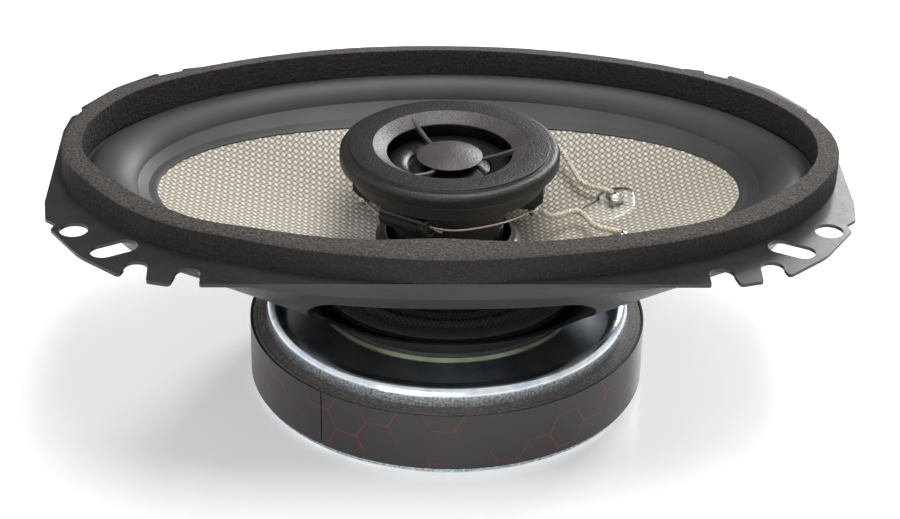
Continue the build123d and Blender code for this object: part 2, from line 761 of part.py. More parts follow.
def make_tweeter_bezel():
    """Front ring of the tweeter, with its throat, three spokes and lens-shaped phase disc in one moulding."""
    rim_z_top = face_z - face_step
    under = housing_top
    body = turned([
        (throat_bottom_radius, face_z - throat_depth), (throat_top_radius, face_z), (face_radius, face_z),
        (face_radius + face_step_lean, rim_z_top), (bezel_radius, rim_z_top), (bezel_radius, bezel_z),
        (bezel_radius - bezel_wall, bezel_z), (bezel_radius - bezel_wall, under),
        (throat_top_radius + throat_wall, under),
        (throat_bottom_radius + throat_lip_width, face_z - throat_depth - throat_lip),
    ])
    outer_edge = body.edges().filter_by(GeomType.CIRCLE).filter_by(
        lambda e: abs(e.radius - bezel_radius) < 0.01).sort_by(Axis.Z)[-1]
    body = fillet(outer_edge, bezel_edge_round)
    disc_z = face_z - phase_disc_sink
    body += Pos(0, 0, disc_z) * half_lens(phase_disc_radius, phase_disc_crown)
    body += disc(phase_disc_radius, disc_z - phase_disc_rim, phase_disc_rim)
    for angle in spoke_angles:
        inner_end = Vector(*polar(phase_disc_radius - spoke_root, angle, disc_z + 0.1))
        outer_end = Vector(*polar(throat_top_radius - 0.3, angle, face_z - spoke_top_sink))
        middle = (inner_end + outer_end) / 2
        run = outer_end - inner_end
        plane = Plane(origin=middle, x_dir=run, z_dir=run.cross(Vector(*polar(1, angle + 90))))
        body += plane * Box(run.length, spoke_width, spoke_height)
    return body


# ---- crossover part and leads ----

def capacitor_frame():
    """Placement of the capacitor: its axis is level, along the housing's tangent, X towards its wired end."""
    offset = post_radius + capacitor_gap + capacitor_radius
    place = polar(offset, capacitor_angle, housing_z - capacitor_radius - capacitor_drop)
    return Pos(*place) * Rot(0, 0, capacitor_angle + 90)


def make_capacitor():
    """Small bipolar electrolytic can in its shrink sleeve, with the rolled groove near its wired end."""
    r = capacitor_radius
    half = capacitor_length / 2
    groove = half - capacitor_groove_in
    rim = r - capacitor_rim
    seal = half - capacitor_recess
    can = Polyline([
        (-half, 0, 0), (-half, 0, r - 0.4), (-half + 0.4, 0, r), (groove - 0.8, 0, r),
        (groove, 0, r - capacitor_groove), (groove + 0.8, 0, r), (half - 0.3, 0, r), (half, 0, r - 0.3),
        (half, 0, rim), (seal, 0, rim), (seal, 0, 0),
    ], close=True)
    return capacitor_frame() * revolve(make_face(can), Axis.X)


def in_capacitor(x, y, z):
    """Point given in the capacitor's own frame."""
    spot = (capacitor_frame() * Pos(x, y, z)).position
    return (spot.X, spot.Y, spot.Z)


def make_capacitor_wire_long():
    """Tinned wire from the capacitor round under the bezel to the first lug."""
    half = capacitor_length / 2 - capacitor_recess
    end = solder_place(lug_angles[0])
    level = end[2]
    return lead([
        in_capacitor(half, -wire_pitch / 2, 0.4), in_capacitor(half + 4.2, -wire_pitch / 2 + 0.1, 0.2),
        polar(17.2, -66, housing_z - 2.9), polar(17.4, -42, housing_z - 3.3), polar(17.3, -22, level + 2.4),
        polar(pin_radius, lug_angles[0] - 4.2, level + 0.3),
    ], wire_diameter)


def make_capacitor_wire_short():
    """Tinned wire that turns back under the capacitor to the second lug."""
    half = capacitor_length / 2 - capacitor_recess
    r = capacitor_radius
    end = solder_place(lug_angles[1])
    return lead([
        in_capacitor(half, wire_pitch / 2 - 0.2, -1.0), in_capacitor(half + 1.8, wire_pitch / 2 - 0.4, -1.7),
        in_capacitor(half + 0.9, wire_pitch / 2 - 0.6, -r - 0.7), in_capacitor(-1.5, 0.3, -r - 0.8),
        in_capacitor(-half - 1.6, 0.2, -r - 0.1), polar(pin_radius, lug_angles[1] + 10.0, end[2] + 1.5),
        polar(pin_radius, lug_angles[1] + 4.2, end[2] + 0.4),
    ], wire_diameter)


def make_front_lead_positive():
    """Braided lead from the first lug to the eyelet nearer the viewer."""
    x, y, z = eyelet_places()[1]
    lug = solder_place(lug_angles[0])
    return lead([
        (lug[0] + solder_radius + soft_gap, lug[1] - 0.2, lug[2] - 0.2),
        (lug[0] + 3.9, lug[1] - 0.8, lug[2] + 0.3), (lug[0] + 9.0, lug[1] + 2.4, lug[2] + 0.6),
        (x - 6.2, y + 7.4, z + 1.3), (x - 3.9, y + 2.2, z + 2.1), (x - 0.2, y, z + lead_rise),
    ], lead_diameter)


def make_front_lead_negative():
    """Braided lead from the third lug, round behind the bezel's edge, to the other eyelet."""
    x, y, z = eyelet_places()[0]
    lug = solder_place(lug_angles[2])
    return lead([
        (lug[0] + 1.2, lug[1] + 1.1, lug[2] + 0.1), (lug[0] + 5.8, lug[1] + 5.2, lug[2] + 2.2),
        (lug[0] + 13.0, lug[1] + 6.4, lug[2] + 2.6), (x - 7.4, y + 7.6, z + 2.0),
        (x - 4.6, y + 3.0, z + 2.0), (x - 0.3, y + 0.4, z + lead_rise),
    ], lead_diameter)


def make_rear_lead(side, eyelet):
    """Braided lead from a terminal, through the window behind it, up to the back of an eyelet."""
    x, y, z = eyelet
    start_x = blade_x(side)
    start_y = terminal_tab_face + board_thickness - soft_gap
    window_y = knee_width / 2 - 8.0
    level = window_level
    drop = lead_pass if side > 0 else 0
    return lead([
        (start_x, start_y, level + 2.0), (start_x - 0.2, window_y + 6.0, level + 0.6),
        (start_x - 1.0, window_y - 5.0, level - 1.2 - drop), (x - 5.5, y + 6.5, level + 0.6 - drop),
        (x - 1.0, y + 1.0, z - 2.6),
    ], lead_diameter)


# ---- terminals ----

def blade_x(side):
    """Middle of the blade on the given side, +1 or -1."""
    return terminal_x + side * blade_pitch / 2


def terminal_rivet_bar(side):
    """Round bar through tab, board and blade."""
    length = blade_thickness + board_thickness + sheet
    place = Pos(blade_x(side), terminal_tab_face - sheet, board_z + terminal_rivet_rise)
    return place * Rot(-90, 0, 0) * Cylinder(terminal_rivet_radius, length, align=BASE)


def make_terminal_board():
    """Laminate strip that insulates the blades from the basket."""
    place = Pos(terminal_x, terminal_tab_face + board_thickness / 2, board_z)
    board = place * Box(board_width, board_thickness, board_height)
    for side in (-1, 1):
        board -= terminal_rivet_bar(side)
    return board


def make_terminal_blade(side, width):
    """Push-on blade with a tapered tip, pointing back along the speaker."""
    top = board_z + board_height / 2 - blade_drop
    blade_y = terminal_tab_face + board_thickness + blade_thickness / 2
    blade = Pos(blade_x(side), blade_y, top - blade_length / 2) * Box(width, blade_thickness, blade_length)
    tip = blade.edges().filter_by(Axis.Y).group_by(Axis.Z)[0]
    return chamfer(tip, blade_bevel) - terminal_rivet_bar(side)


def make_terminal_rivets():
    """Two rivets through tab, board and blades."""
    return Compound(children=[terminal_rivet_bar(side) for side in (-1, 1)])


def build():
    """Every piece of the speaker, by node name."""
    eyelets = eyelet_places()
    return {
        "yoke": make_yoke(),
        "magnet": make_magnet(),
        "magnet_wrap": make_magnet_wrap(),
        "top_plate": make_top_plate(),
        "basket": make_basket(),
        "basket_rivets": make_basket_rivets(),
        "foam_gasket": make_foam_gasket(),
        "spider_ring": make_spider_ring(),
        "spider": make_spider(),
        "surround": make_surround(),
        "cone": make_cone(),
        "neck_glue": make_neck_glue(),
        "voice_coil_former": make_voice_coil_former(),
        "voice_coil_winding": make_voice_coil_winding(),
        "coil_leadouts": make_coil_leadouts(),
        "cone_eyelets": make_cone_eyelets(),
        "eyelet_glue": make_eyelet_glue(),
        "tweeter_post": make_tweeter_post(),
        "centre_screw": make_centre_screw(),
        "tweeter_pot": make_tweeter_pot(),
        "tweeter_magnet": make_tweeter_magnet(),
        "tweeter_pole_plate": make_tweeter_plate(),
        "tweeter_coil": make_tweeter_coil(),
        "tweeter_dome": make_tweeter_dome(),
        "tweeter_surround": make_tweeter_surround(),
        "tweeter_housing": make_tweeter_housing(),
        "tweeter_bezel": make_tweeter_bezel(),
        "tweeter_pins": make_tweeter_pins(),
        "lug_solder": make_lug_solder(),
        "capacitor": make_capacitor(),
        "capacitor_wire_long": make_capacitor_wire_long(),
        "capacitor_wire_short": make_capacitor_wire_short(),
        "front_lead_positive": make_front_lead_positive(),
        "front_lead_negative": make_front_lead_negative(),
        "rear_lead_positive": make_rear_lead(1, eyelets[1]),
        "rear_lead_negative": make_rear_lead(-1, eyelets[0]),
        "terminal_board": make_terminal_board(),
        "terminal_positive": make_terminal_blade(1, positive_blade_width),
        "terminal_negative": make_terminal_blade(-1, negative_blade_width),
        "terminal_rivets": make_terminal_rivets(),
    }


os.makedirs("parts", exist_ok=True)
for name, solid in build().items():
    export_step(solid, f"parts/{name}.step")
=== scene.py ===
import math

import bpy
import numpy as np
from mathutils import Matrix, Vector, noise


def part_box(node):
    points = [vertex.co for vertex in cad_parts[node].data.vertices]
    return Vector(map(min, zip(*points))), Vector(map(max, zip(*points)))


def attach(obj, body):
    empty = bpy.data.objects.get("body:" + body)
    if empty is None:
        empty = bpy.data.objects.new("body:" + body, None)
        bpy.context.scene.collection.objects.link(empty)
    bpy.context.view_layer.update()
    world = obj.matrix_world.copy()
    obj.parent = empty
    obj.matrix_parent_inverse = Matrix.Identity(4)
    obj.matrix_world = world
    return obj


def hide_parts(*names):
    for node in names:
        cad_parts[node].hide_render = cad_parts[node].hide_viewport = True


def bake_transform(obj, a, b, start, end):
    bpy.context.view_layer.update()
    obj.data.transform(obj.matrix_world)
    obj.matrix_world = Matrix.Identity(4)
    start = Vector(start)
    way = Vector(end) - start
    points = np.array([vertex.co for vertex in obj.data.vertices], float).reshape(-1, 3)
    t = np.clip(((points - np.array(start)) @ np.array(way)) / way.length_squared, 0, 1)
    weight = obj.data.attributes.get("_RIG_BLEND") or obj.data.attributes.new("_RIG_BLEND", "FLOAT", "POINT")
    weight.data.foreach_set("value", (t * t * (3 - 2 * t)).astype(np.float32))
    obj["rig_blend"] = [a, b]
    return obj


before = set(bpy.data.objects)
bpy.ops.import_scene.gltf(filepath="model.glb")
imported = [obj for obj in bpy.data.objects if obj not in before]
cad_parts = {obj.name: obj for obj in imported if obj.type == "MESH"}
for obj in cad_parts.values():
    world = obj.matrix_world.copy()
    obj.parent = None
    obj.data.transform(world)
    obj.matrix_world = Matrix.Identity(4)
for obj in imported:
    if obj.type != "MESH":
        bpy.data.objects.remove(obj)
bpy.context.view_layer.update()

# Lengths are in millimetres in the speaker's own frame. They turn to metres where a mesh or a curve is made.
MM = 0.001


def low(node):
    """Lowest corner of a CAD piece, in millimetres."""
    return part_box(node)[0] / MM


def high(node):
    """Highest corner of a CAD piece, in millimetres."""
    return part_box(node)[1] / MM


# ---- sizes repeated from the part's source ----

LIP_WIDTH = 3.4         # surround's flat lip on the flange
RUBBER = 0.6            # surround's thickness
CONE_WALL = 0.7
NECK_GAP = 0.2          # between the former and the cone's neck
BAND_END = 4.5          # rubber band on the cone, along the long axis
BAND_SIDE = 5.9         # and across it
SOFT_GAP = 0.3          # between the surround's lip and the foam on it
FOAM_WALL = 4.3         # foam strip's width
LEAD_RADIUS = 0.58      # loose braid, a little wider than the part's solid lead
WIRE_RADIUS = 0.275


# ---- places read from the frame ----

NECK_RADIUS = high("voice_coil_former").x + NECK_GAP
FLANGE_TOP = high("basket").z
FOAM_FOOT = low("foam_gasket").z
FOAM_TOP = high("foam_gasket").z
FOAM_END = high("foam_gasket").x
FOAM_SIDE = high("foam_gasket").y
LIP_TOP = FOAM_FOOT - SOFT_GAP
LIP_END = high("surround").x
OVAL = high("surround").y / LIP_END
ROLL_END = LIP_END - LIP_WIDTH
ROLL_CREST = high("surround").z
RIM_END = high("cone").x
RIM_SIDE = high("cone").y
RIM_Z = high("cone").z + CONE_WALL
NECK_Z = low("cone").z + CONE_WALL
HOUSING_Z = high("tweeter_post").z
BEZEL_RADIUS = high("tweeter_bezel").x
BEZEL_Z = low("tweeter_bezel").z
FACE_Z = high("tweeter_bezel").z
DOME_Z = low("tweeter_dome").z
DOME_RADIUS = high("tweeter_dome").x
MAGNET_RADIUS = high("magnet").x
FORMER_RADIUS = high("voice_coil_former").x
SPIDER_LEVEL = low("spider").z
SPIDER_RADIUS = high("spider").x


# ---- camera ----

CAMERA_PLACE = (-14.22, -419.38, 258.67)
CAMERA_TURN = (-2.0, 29.05, 1.04)       # degrees round the speaker, above it, and of roll
LENS = 95.3
SENSOR = 36.0


def set_camera():
    """Long lens a little left of the middle, looking down at the speaker by 29 degrees."""
    azimuth, elevation, roll = [math.radians(turn) for turn in CAMERA_TURN]
    back = Vector((math.sin(azimuth) * math.cos(elevation), -math.cos(azimuth) * math.cos(elevation),
                   math.sin(elevation)))
    level = (-back).cross(Vector((0, 0, 1))).normalized()
    upright = level.cross(-back)
    right = level * math.cos(roll) + upright * math.sin(roll)
    up = upright * math.cos(roll) - level * math.sin(roll)
    data = bpy.data.cameras.new("camera")
    data.lens = LENS
    data.sensor_width = SENSOR
    data.clip_start = 0.01
    camera = bpy.data.objects.new("camera", data)
    place = Matrix((right, up, back)).transposed().to_4x4()
    place.translation = Vector(CAMERA_PLACE) * MM
    camera.matrix_world = place
    bpy.context.scene.collection.objects.link(camera)
    bpy.context.scene.camera = camera


# ---- finishes ----

def linear(hex_colour):
    """sRGB hex to linear red, green, blue and alpha."""
    values = [int(hex_colour[i:i + 2], 16) / 255 for i in (1, 3, 5)]
    return [v / 12.92 if v <= 0.04045 else ((v + 0.055) / 1.055) ** 2.4 for v in values] + [1.0]


def feed(tree, node, ordered, named):
    """Gives a node its inputs: a value is set and a node or socket is linked."""
    live = [socket for socket in node.inputs if socket.enabled]
    pairs = list(zip(live, ordered))
    for name, value in named.items():
        pairs.append((next(s for s in live if s.name == name.replace("_", " ")), value))
    for socket, value in pairs:
        if isinstance(value, bpy.types.Node):
            value = next(s for s in value.outputs if s.enabled)
        if isinstance(value, bpy.types.NodeSocket):
            tree.links.new(value, socket)
        else:
            socket.default_value = value


def add(tree, kind, *ordered, stops=(), **named):
    """Adds a node with its settings, inputs and links. stops are a ramp's (place, colour) pairs."""
    node = tree.nodes.new("ShaderNode" + kind)
    for name in [n for n in named if hasattr(node, n)]:
        setattr(node, name, named.pop(name))
    feed(tree, node, ordered, named)
    for _ in stops[2:]:
        node.color_ramp.elements.new(1.0)
    for i, (place, colour) in enumerate(stops):
        node.color_ramp.elements[i].position = place
        node.color_ramp.elements[i].color = linear(colour)
    return node


def new_finish(name, **uniform):
    """Starts a finish. Its uniform values go on the shader; gives its tree and the place in millimetres."""
    material = bpy.data.materials.new(name)
    material.use_nodes = True
    tree = material.node_tree
    feed(tree, tree.nodes["Principled BSDF"], (), uniform)
    here = add(tree, "TexCoord").outputs["Object"]
    return material, tree, add(tree, "VectorMath", here, operation="SCALE", Scale=1 / MM)


def cover(material, **varying):
    """Ends a finish: what varies over the surface goes to the shader."""
    tree = material.node_tree
    feed(tree, tree.nodes["Principled BSDF"], (), varying)
    return material


SHEARED_FROM = (30.0, 31.0)     # radii between which a steel plate's upright faces turn to sheared grain


def zinc_plated_steel():
    """Pressed steel plate, bright zinc plated: a cool mirror on top, a grainy sheared outer rim,
    and an olive tint on the low step under the basket. Shear marks are finer than this on a real
    plate, and are drawn at 0.5 mm so that they show."""
    material, tree, place = new_finish("zinc_plated_steel", Metallic=1.0)
    facing = add(tree, "SeparateXYZ", add(tree, "TexCoord").outputs["Normal"]).outputs[2]
    upright = add(tree, "MapRange", add(tree, "Math", facing, operation="ABSOLUTE"),
                  From_Min=0.03, From_Max=0.2, To_Min=1.0, To_Max=0.0)
    flat = add(tree, "VectorMath", place, (1.0, 1.0, 0.0), operation="MULTIPLY")
    outside = add(tree, "MapRange", add(tree, "VectorMath", flat, operation="LENGTH"),
                  From_Min=SHEARED_FROM[0], From_Max=SHEARED_FROM[1])
    wall = add(tree, "Math", upright, outside, operation="MULTIPLY")
    cloud = add(tree, "TexNoise", place, Scale=1 / 7.0, Detail=3.0)
    grain = add(tree, "TexNoise", place, Scale=1 / 0.5, Detail=4.0, Roughness=0.7)
    plated = add(tree, "ValToRGB", cloud, stops=((0.3, "#b0bcc8"), (0.5, "#d6dee5"), (0.7, "#bdc3c6")))
    sheared = add(tree, "ValToRGB", grain, stops=((0.35, "#6f7478"), (0.55, "#c0c7cc"), (0.7, "#e8edf0")))
    land = add(tree, "Math", upright, wall, operation="SUBTRACT")
    top = add(tree, "Mix", data_type="RGBA", Factor=land, A=plated, B=linear("#8d9173"))
    colour = add(tree, "Mix", data_type="RGBA", Factor=wall, A=top, B=sheared)
    smooth = add(tree, "MapRange", grain, From_Min=0.3, From_Max=0.7, To_Min=0.12, To_Max=0.24)
    rough = add(tree, "Mix", Factor=wall, A=smooth, B=0.42)
    depth = add(tree, "MapRange", wall, To_Min=0.08, To_Max=1.0)
    bump = add(tree, "Bump", Height=grain, Distance=0.12 * MM, Strength=depth)
    return cover(material, Base_Color=colour, Roughness=rough, Normal=bump)


def screw_steel():
    """Turned screw, zinc plated, duller than the plates."""
    material, tree, place = new_finish("screw_steel", Metallic=1.0)
    grain = add(tree, "TexNoise", place, Scale=1 / 0.3)
    colour = add(tree, "ValToRGB", grain, stops=((0.3, "#84868a"), (0.7, "#a3a5a8")))
    rough = add(tree, "MapRange", grain, To_Min=0.25, To_Max=0.45)
    bump = add(tree, "Bump", Height=grain, Distance=0.02 * MM)
    return cover(material, Base_Color=colour, Roughness=rough, Normal=bump)


def ground_ferrite():
    """Sintered ferrite, ground flat: dark brown-grey with fine rings from the wheel and pale dust.
    The wheel's marks are drawn at 0.3 mm, coarser than real, so that they show."""
    material, tree, place = new_finish("ground_ferrite")
    flat = add(tree, "VectorMath", place, (1.0, 1.0, 0.0), operation="MULTIPLY")
    radius = add(tree, "VectorMath", flat, operation="LENGTH")
    rings = add(tree, "TexNoise", noise_dimensions="1D", W=radius, Scale=1 / 0.3, Detail=4.0)
    grain = add(tree, "TexNoise", place, Scale=1 / 0.5, Detail=4.0)
    mixed = add(tree, "Math", rings, grain, operation="MULTIPLY")
    colour = add(tree, "ValToRGB", mixed, stops=((0.12, "#544f4d"), (0.28, "#7a7572"), (0.42, "#a59f9b")))
    rough = add(tree, "MapRange", rings, To_Min=0.32, To_Max=0.6)
    bump = add(tree, "Bump", Height=mixed, Distance=0.05 * MM, Strength=0.6)
    return cover(material, Base_Color=colour, Roughness=rough, Normal=bump)


def powder_coated_steel():
    """Pressed steel in a thin satin black powder coat: a soft sheen over slight orange peel,
    about 1 mm from hump to hump, and faint clouds where the coat varies."""
    material, tree, place = new_finish("powder_coated_steel")
    peel = add(tree, "TexNoise", place, Scale=1 / 0.9, Detail=1.0)
    cloud = add(tree, "TexNoise", place, Scale=1 / 14.0)
    colour = add(tree, "ValToRGB", cloud, stops=((0.3, "#2a2828"), (0.7, "#363433")))
    rough = add(tree, "MapRange", peel, From_Min=0.3, From_Max=0.7, To_Min=0.3, To_Max=0.42)
    bump = add(tree, "Bump", Height=peel, Distance=0.02 * MM, Strength=0.35)
    return cover(material, Base_Color=colour, Roughness=rough, Normal=bump)


def closed_cell_foam():
    """Die-cut closed-cell foam: open cut cells speckle the top, which is lighter partly from them and partly
    as painted light, and the sides are darker as painted shade. Real cells are a few tenths of a millimetre,
    and are drawn at 0.45 and 0.7 mm so that they show."""
    material, tree, place = new_finish("closed_cell_foam")
    cells = add(tree, "TexVoronoi", place, Scale=1 / 0.7)
    fine = add(tree, "TexNoise", place, Scale=1 / 0.45, Detail=5.0, Roughness=0.75)
    facing = add(tree, "SeparateXYZ", add(tree, "TexCoord").outputs["Normal"]).outputs[2]
    # Upward faces get the lighter top colours, partly open cut cells and partly painted light; the rest get
    # the darker side colours, which are painted shade.
    cut = add(tree, "MapRange", facing, From_Min=0.3, From_Max=0.9)
    top = add(tree, "ValToRGB", fine, stops=((0.36, "#292524"), (0.5, "#413d3b"), (0.64, "#6a645f")))
    side = add(tree, "ValToRGB", fine, stops=((0.42, "#151312"), (0.56, "#282523"), (0.7, "#4f4a46")))
    colour = add(tree, "Mix", data_type="RGBA", Factor=cut, A=side, B=top)
    rough = add(tree, "MapRange", fine, To_Min=0.75, To_Max=0.95)
    pitted = add(tree, "Math", fine, cells.outputs["Distance"], operation="ADD")
    bump = add(tree, "Bump", Height=pitted, Distance=0.35 * MM)
    return cover(material, Base_Color=colour, Roughness=rough, Normal=bump)


def butyl_rubber():
    """Moulded butyl rubber: satin charcoal with a broad soft highlight and a faint bloom. The mould's
    grain is drawn at 0.3 mm, coarser than real, so that it softens the highlight."""
    material, tree, place = new_finish("butyl_rubber")
    bloom = add(tree, "TexNoise", place, Scale=1 / 9.0)
    grain = add(tree, "TexNoise", place, Scale=1 / 0.3)
    colour = add(tree, "ValToRGB", bloom, stops=((0.3, "#303031"), (0.7, "#393939")))
    rough = add(tree, "MapRange", grain, To_Min=0.44, To_Max=0.6)
    bump = add(tree, "Bump", Height=grain, Distance=0.02 * MM, Strength=0.3)
    return cover(material, Base_Color=colour, Roughness=rough, Normal=bump)


TOW_PITCH = 1.0                 # spacing of the cone's glass tows
TOW_LEAN = (1.14, 0.88, 1.0)    # stretch that leans them from 45 degrees toward the oval's short axis
THREAD_PITCH = 0.65             # spacing of the spider's threads, drawn a little coarser than real to show


def plain_weave(tree, place, pitch):
    """Slanting plain weave. Gives how high each point stands on its tow, which tow is on top, and
    the place counted in tows."""
    leant = add(tree, "VectorMath", place, TOW_LEAN, operation="MULTIPLY")
    turned = add(tree, "VectorRotate", leant, rotation_type="Z_AXIS", Angle=math.pi / 4)
    scaled = add(tree, "VectorMath", turned, operation="SCALE", Scale=1 / pitch)
    whole = add(tree, "VectorMath", scaled, operation="FLOOR")
    inside = add(tree, "VectorMath", scaled, whole, operation="SUBTRACT")
    centred = add(tree, "VectorMath", inside, (0.5, 0.5, 0.5), operation="SUBTRACT")
    squared = add(tree, "VectorMath", centred, centred, operation="MULTIPLY")
    step = add(tree, "SeparateXYZ", whole)
    over = add(tree, "Math", add(tree, "Math", step.outputs[0], step.outputs[1], operation="ADD"), 2.0,
               operation="FLOORED_MODULO")
    share = add(tree, "SeparateXYZ", squared)
    fall_x = add(tree, "MapRange", share.outputs[0], From_Max=0.25, To_Min=1.0, To_Max=0.0)
    fall_y = add(tree, "MapRange", share.outputs[1], From_Max=0.25, To_Min=1.0, To_Max=0.0)
    across = add(tree, "Mix", Factor=over, A=fall_x, B=fall_y)
    along = add(tree, "Mix", Factor=over, A=fall_y, B=fall_x)
    rounded_side = add(tree, "Math", across, 0.9, operation="POWER")
    dipped_end = add(tree, "Math", along, 0.25, operation="POWER")
    return add(tree, "Math", rounded_side, dipped_end, operation="MULTIPLY"), over, scaled


def woven_glass_fibre():
    """Plain-woven glass tows set in clear resin: pale cushions with dark gaps, and a wet sheen. The tows
    lying one way get a lighter copy of the colours as painted sheen, and those lying the other way a darker
    copy as painted shade. Each tow's fibres are far too fine to show, so nine streaks stand for them."""
    material, tree, place = new_finish("woven_glass_fibre", Coat_Weight=0.3, Coat_Roughness=0.25)
    cushion, over, scaled = plain_weave(tree, place, TOW_PITCH)
    streaks = []
    for stretch in ((0.5, 9.0, 1.0), (9.0, 0.5, 1.0)):
        drawn_out = add(tree, "VectorMath", scaled, stretch, operation="MULTIPLY")
        streaks.append(add(tree, "TexNoise", drawn_out, Scale=1.0))
    thread = add(tree, "Mix", Factor=over, A=streaks[0], B=streaks[1])
    # pale is the lighter copy of the tow colours, painted sheen; shaded_tows is the darker copy, painted
    # shade; over picks one for each tow direction.
    pale = add(tree, "ValToRGB", cushion,
               stops=((0.0, "#3f392f"), (0.3, "#a79e8f"), (0.6, "#d6cfc1"), (0.95, "#efe9de")))
    shaded_tows = add(tree, "ValToRGB", cushion,
               stops=((0.0, "#393329"), (0.3, "#857c6e"), (0.6, "#aea697"), (0.95, "#cbc3b5")))
    tows = add(tree, "Mix", data_type="RGBA", Factor=over, A=shaded_tows, B=pale)
    strands = add(tree, "ValToRGB", thread, stops=((0.3, "#bdb6aa"), (0.6, "#ffffff")))
    colour = add(tree, "Mix", data_type="RGBA", blend_type="MULTIPLY", Factor=0.5, A=tows, B=strands)
    rough = add(tree, "MapRange", thread, To_Min=0.3, To_Max=0.5)
    height = add(tree, "Math", thread, 0.3, cushion, operation="MULTIPLY_ADD")
    bump = add(tree, "Bump", Height=height, Distance=0.12 * MM, Strength=0.8)
    return cover(material, Base_Color=colour, Roughness=rough, Normal=bump)


def damped_glass_fibre():
    """Back of the cone: the same glass weave under a dull black damping coat."""
    material, tree, place = new_finish("damped_glass_fibre")
    cushion, _, _ = plain_weave(tree, place, TOW_PITCH)
    colour = add(tree, "ValToRGB", cushion, stops=((0.05, "#0b0a0a"), (0.9, "#201e1c")))
    rough = add(tree, "MapRange", cushion, To_Min=0.7, To_Max=0.5)
    bump = add(tree, "Bump", Height=cushion, Distance=0.12 * MM, Strength=0.9)
    return cover(material, Base_Color=colour, Roughness=rough, Normal=bump)


def phenolic_cotton():
    """Open black cotton weave stiffened with phenolic resin: dull, with glints painted as a lighter colour on
    the threads' crowns.
    """
    material, tree, place = new_finish("phenolic_cotton", Sheen_Weight=0.15)
    cushion, _, _ = plain_weave(tree, place, THREAD_PITCH)
    fuzz = add(tree, "TexNoise", place, Scale=1 / 0.3)
    # The lighter colour on the threads' crowns is a painted glint.
    colour = add(tree, "ValToRGB", cushion, stops=((0.05, "#030303"), (0.5, "#0f0e0e"), (0.95, "#262422")))
    rough = add(tree, "MapRange", fuzz, To_Min=0.4, To_Max=0.75)
    bump = add(tree, "Bump", Height=cushion, Distance=0.15 * MM)
    return cover(material, Base_Color=colour, Roughness=rough, Normal=bump)


HONEYCOMB = 7.4         # cell of the printed honeycomb, flat to flat


def printed_film():
    """Satin plastic film with a printed honeycomb: thin dark-red lines on charcoal that fade in and out."""
    material, tree, place = new_finish("printed_film", Coat_Weight=0.15, Coat_Roughness=0.3)
    part = add(tree, "SeparateXYZ", place)
    turn = add(tree, "Math", part.outputs[1], part.outputs[0], operation="ARCTAN2")
    around = add(tree, "Math", turn, MAGNET_RADIUS / HONEYCOMB, operation="MULTIPLY")
    rise = add(tree, "Math", part.outputs[2], 1 / HONEYCOMB, operation="MULTIPLY")
    spot = add(tree, "CombineXYZ", around, rise, 0.0)
    repeat = Vector((math.sqrt(3), 1.0, 1.0))
    edges = []
    for shift in (Vector((0, 0.1, 0)), repeat / 2 + Vector((0, 0.1, 0))):
        moved = add(tree, "VectorMath", spot, shift, operation="ADD")
        folded = add(tree, "VectorMath", moved, repeat, (0, 0, 0), operation="WRAP")
        centred = add(tree, "VectorMath", folded, repeat / 2, operation="SUBTRACT")
        corner = add(tree, "VectorMath", centred, operation="ABSOLUTE")
        slant = add(tree, "VectorMath", corner, (math.sqrt(3) / 2, 0.5, 0.0), operation="DOT_PRODUCT")
        rise_to_edge = add(tree, "SeparateXYZ", corner).outputs[1]
        edges.append(add(tree, "Math", rise_to_edge, slant, operation="MAXIMUM"))
    nearest = add(tree, "Math", *edges, operation="MINIMUM")
    line = add(tree, "MapRange", nearest, From_Min=0.476, From_Max=0.488)
    patch = add(tree, "TexNoise", spot, Scale=0.42, Detail=1.0)
    shown = add(tree, "Math", line, add(tree, "MapRange", patch, From_Min=0.46, From_Max=0.6),
                operation="MULTIPLY")
    cloud = add(tree, "TexNoise", place, Scale=1 / 12.0)
    ground = add(tree, "ValToRGB", cloud, stops=((0.3, "#262121"), (0.7, "#302b2b")))
    colour = add(tree, "Mix", data_type="RGBA", Factor=shown, A=ground, B=linear("#742a28"))
    fine = add(tree, "TexNoise", place, Scale=1 / 0.5)
    rough = add(tree, "MapRange", fine, To_Min=0.34, To_Max=0.46)
    return cover(material, Base_Color=colour, Roughness=rough)


def moulded_abs(name, grit, depth, dark, pale):
    """Injection-moulded ABS with a spark-eroded grain of the given grit and depth: matt, with a soft
    sheen. Real grit is finer, and is drawn at 0.35 to 0.5 mm so that it shows."""
    material, tree, place = new_finish(name)
    grain = add(tree, "TexNoise", place, Scale=1 / grit, Detail=2.0, Roughness=0.6)
    cloud = add(tree, "TexNoise", place, Scale=1 / 5.0)
    colour = add(tree, "ValToRGB", cloud, stops=((0.3, dark), (0.7, pale)))
    rough = add(tree, "MapRange", grain, From_Min=0.3, From_Max=0.7, To_Min=0.32, To_Max=0.5)
    bump = add(tree, "Bump", Height=grain, Distance=depth * MM)
    return cover(material, Base_Color=colour, Roughness=rough, Normal=bump)


def dark_gloss(name, size, depth, dark, pale, smooth, dull):
    """Black film, sleeve, dipped plastic or rubber, with soft ripples of the given size and depth in
    its gloss."""
    material, tree, place = new_finish(name)
    ripple = add(tree, "TexNoise", place, Scale=1 / size)
    colour = add(tree, "ValToRGB", ripple, stops=((0.3, dark), (0.7, pale)))
    rough = add(tree, "MapRange", ripple, To_Min=smooth, To_Max=dull)
    bump = add(tree, "Bump", Height=ripple, Distance=depth * MM, Strength=0.5)
    return cover(material, Base_Color=colour, Roughness=rough, Normal=bump)


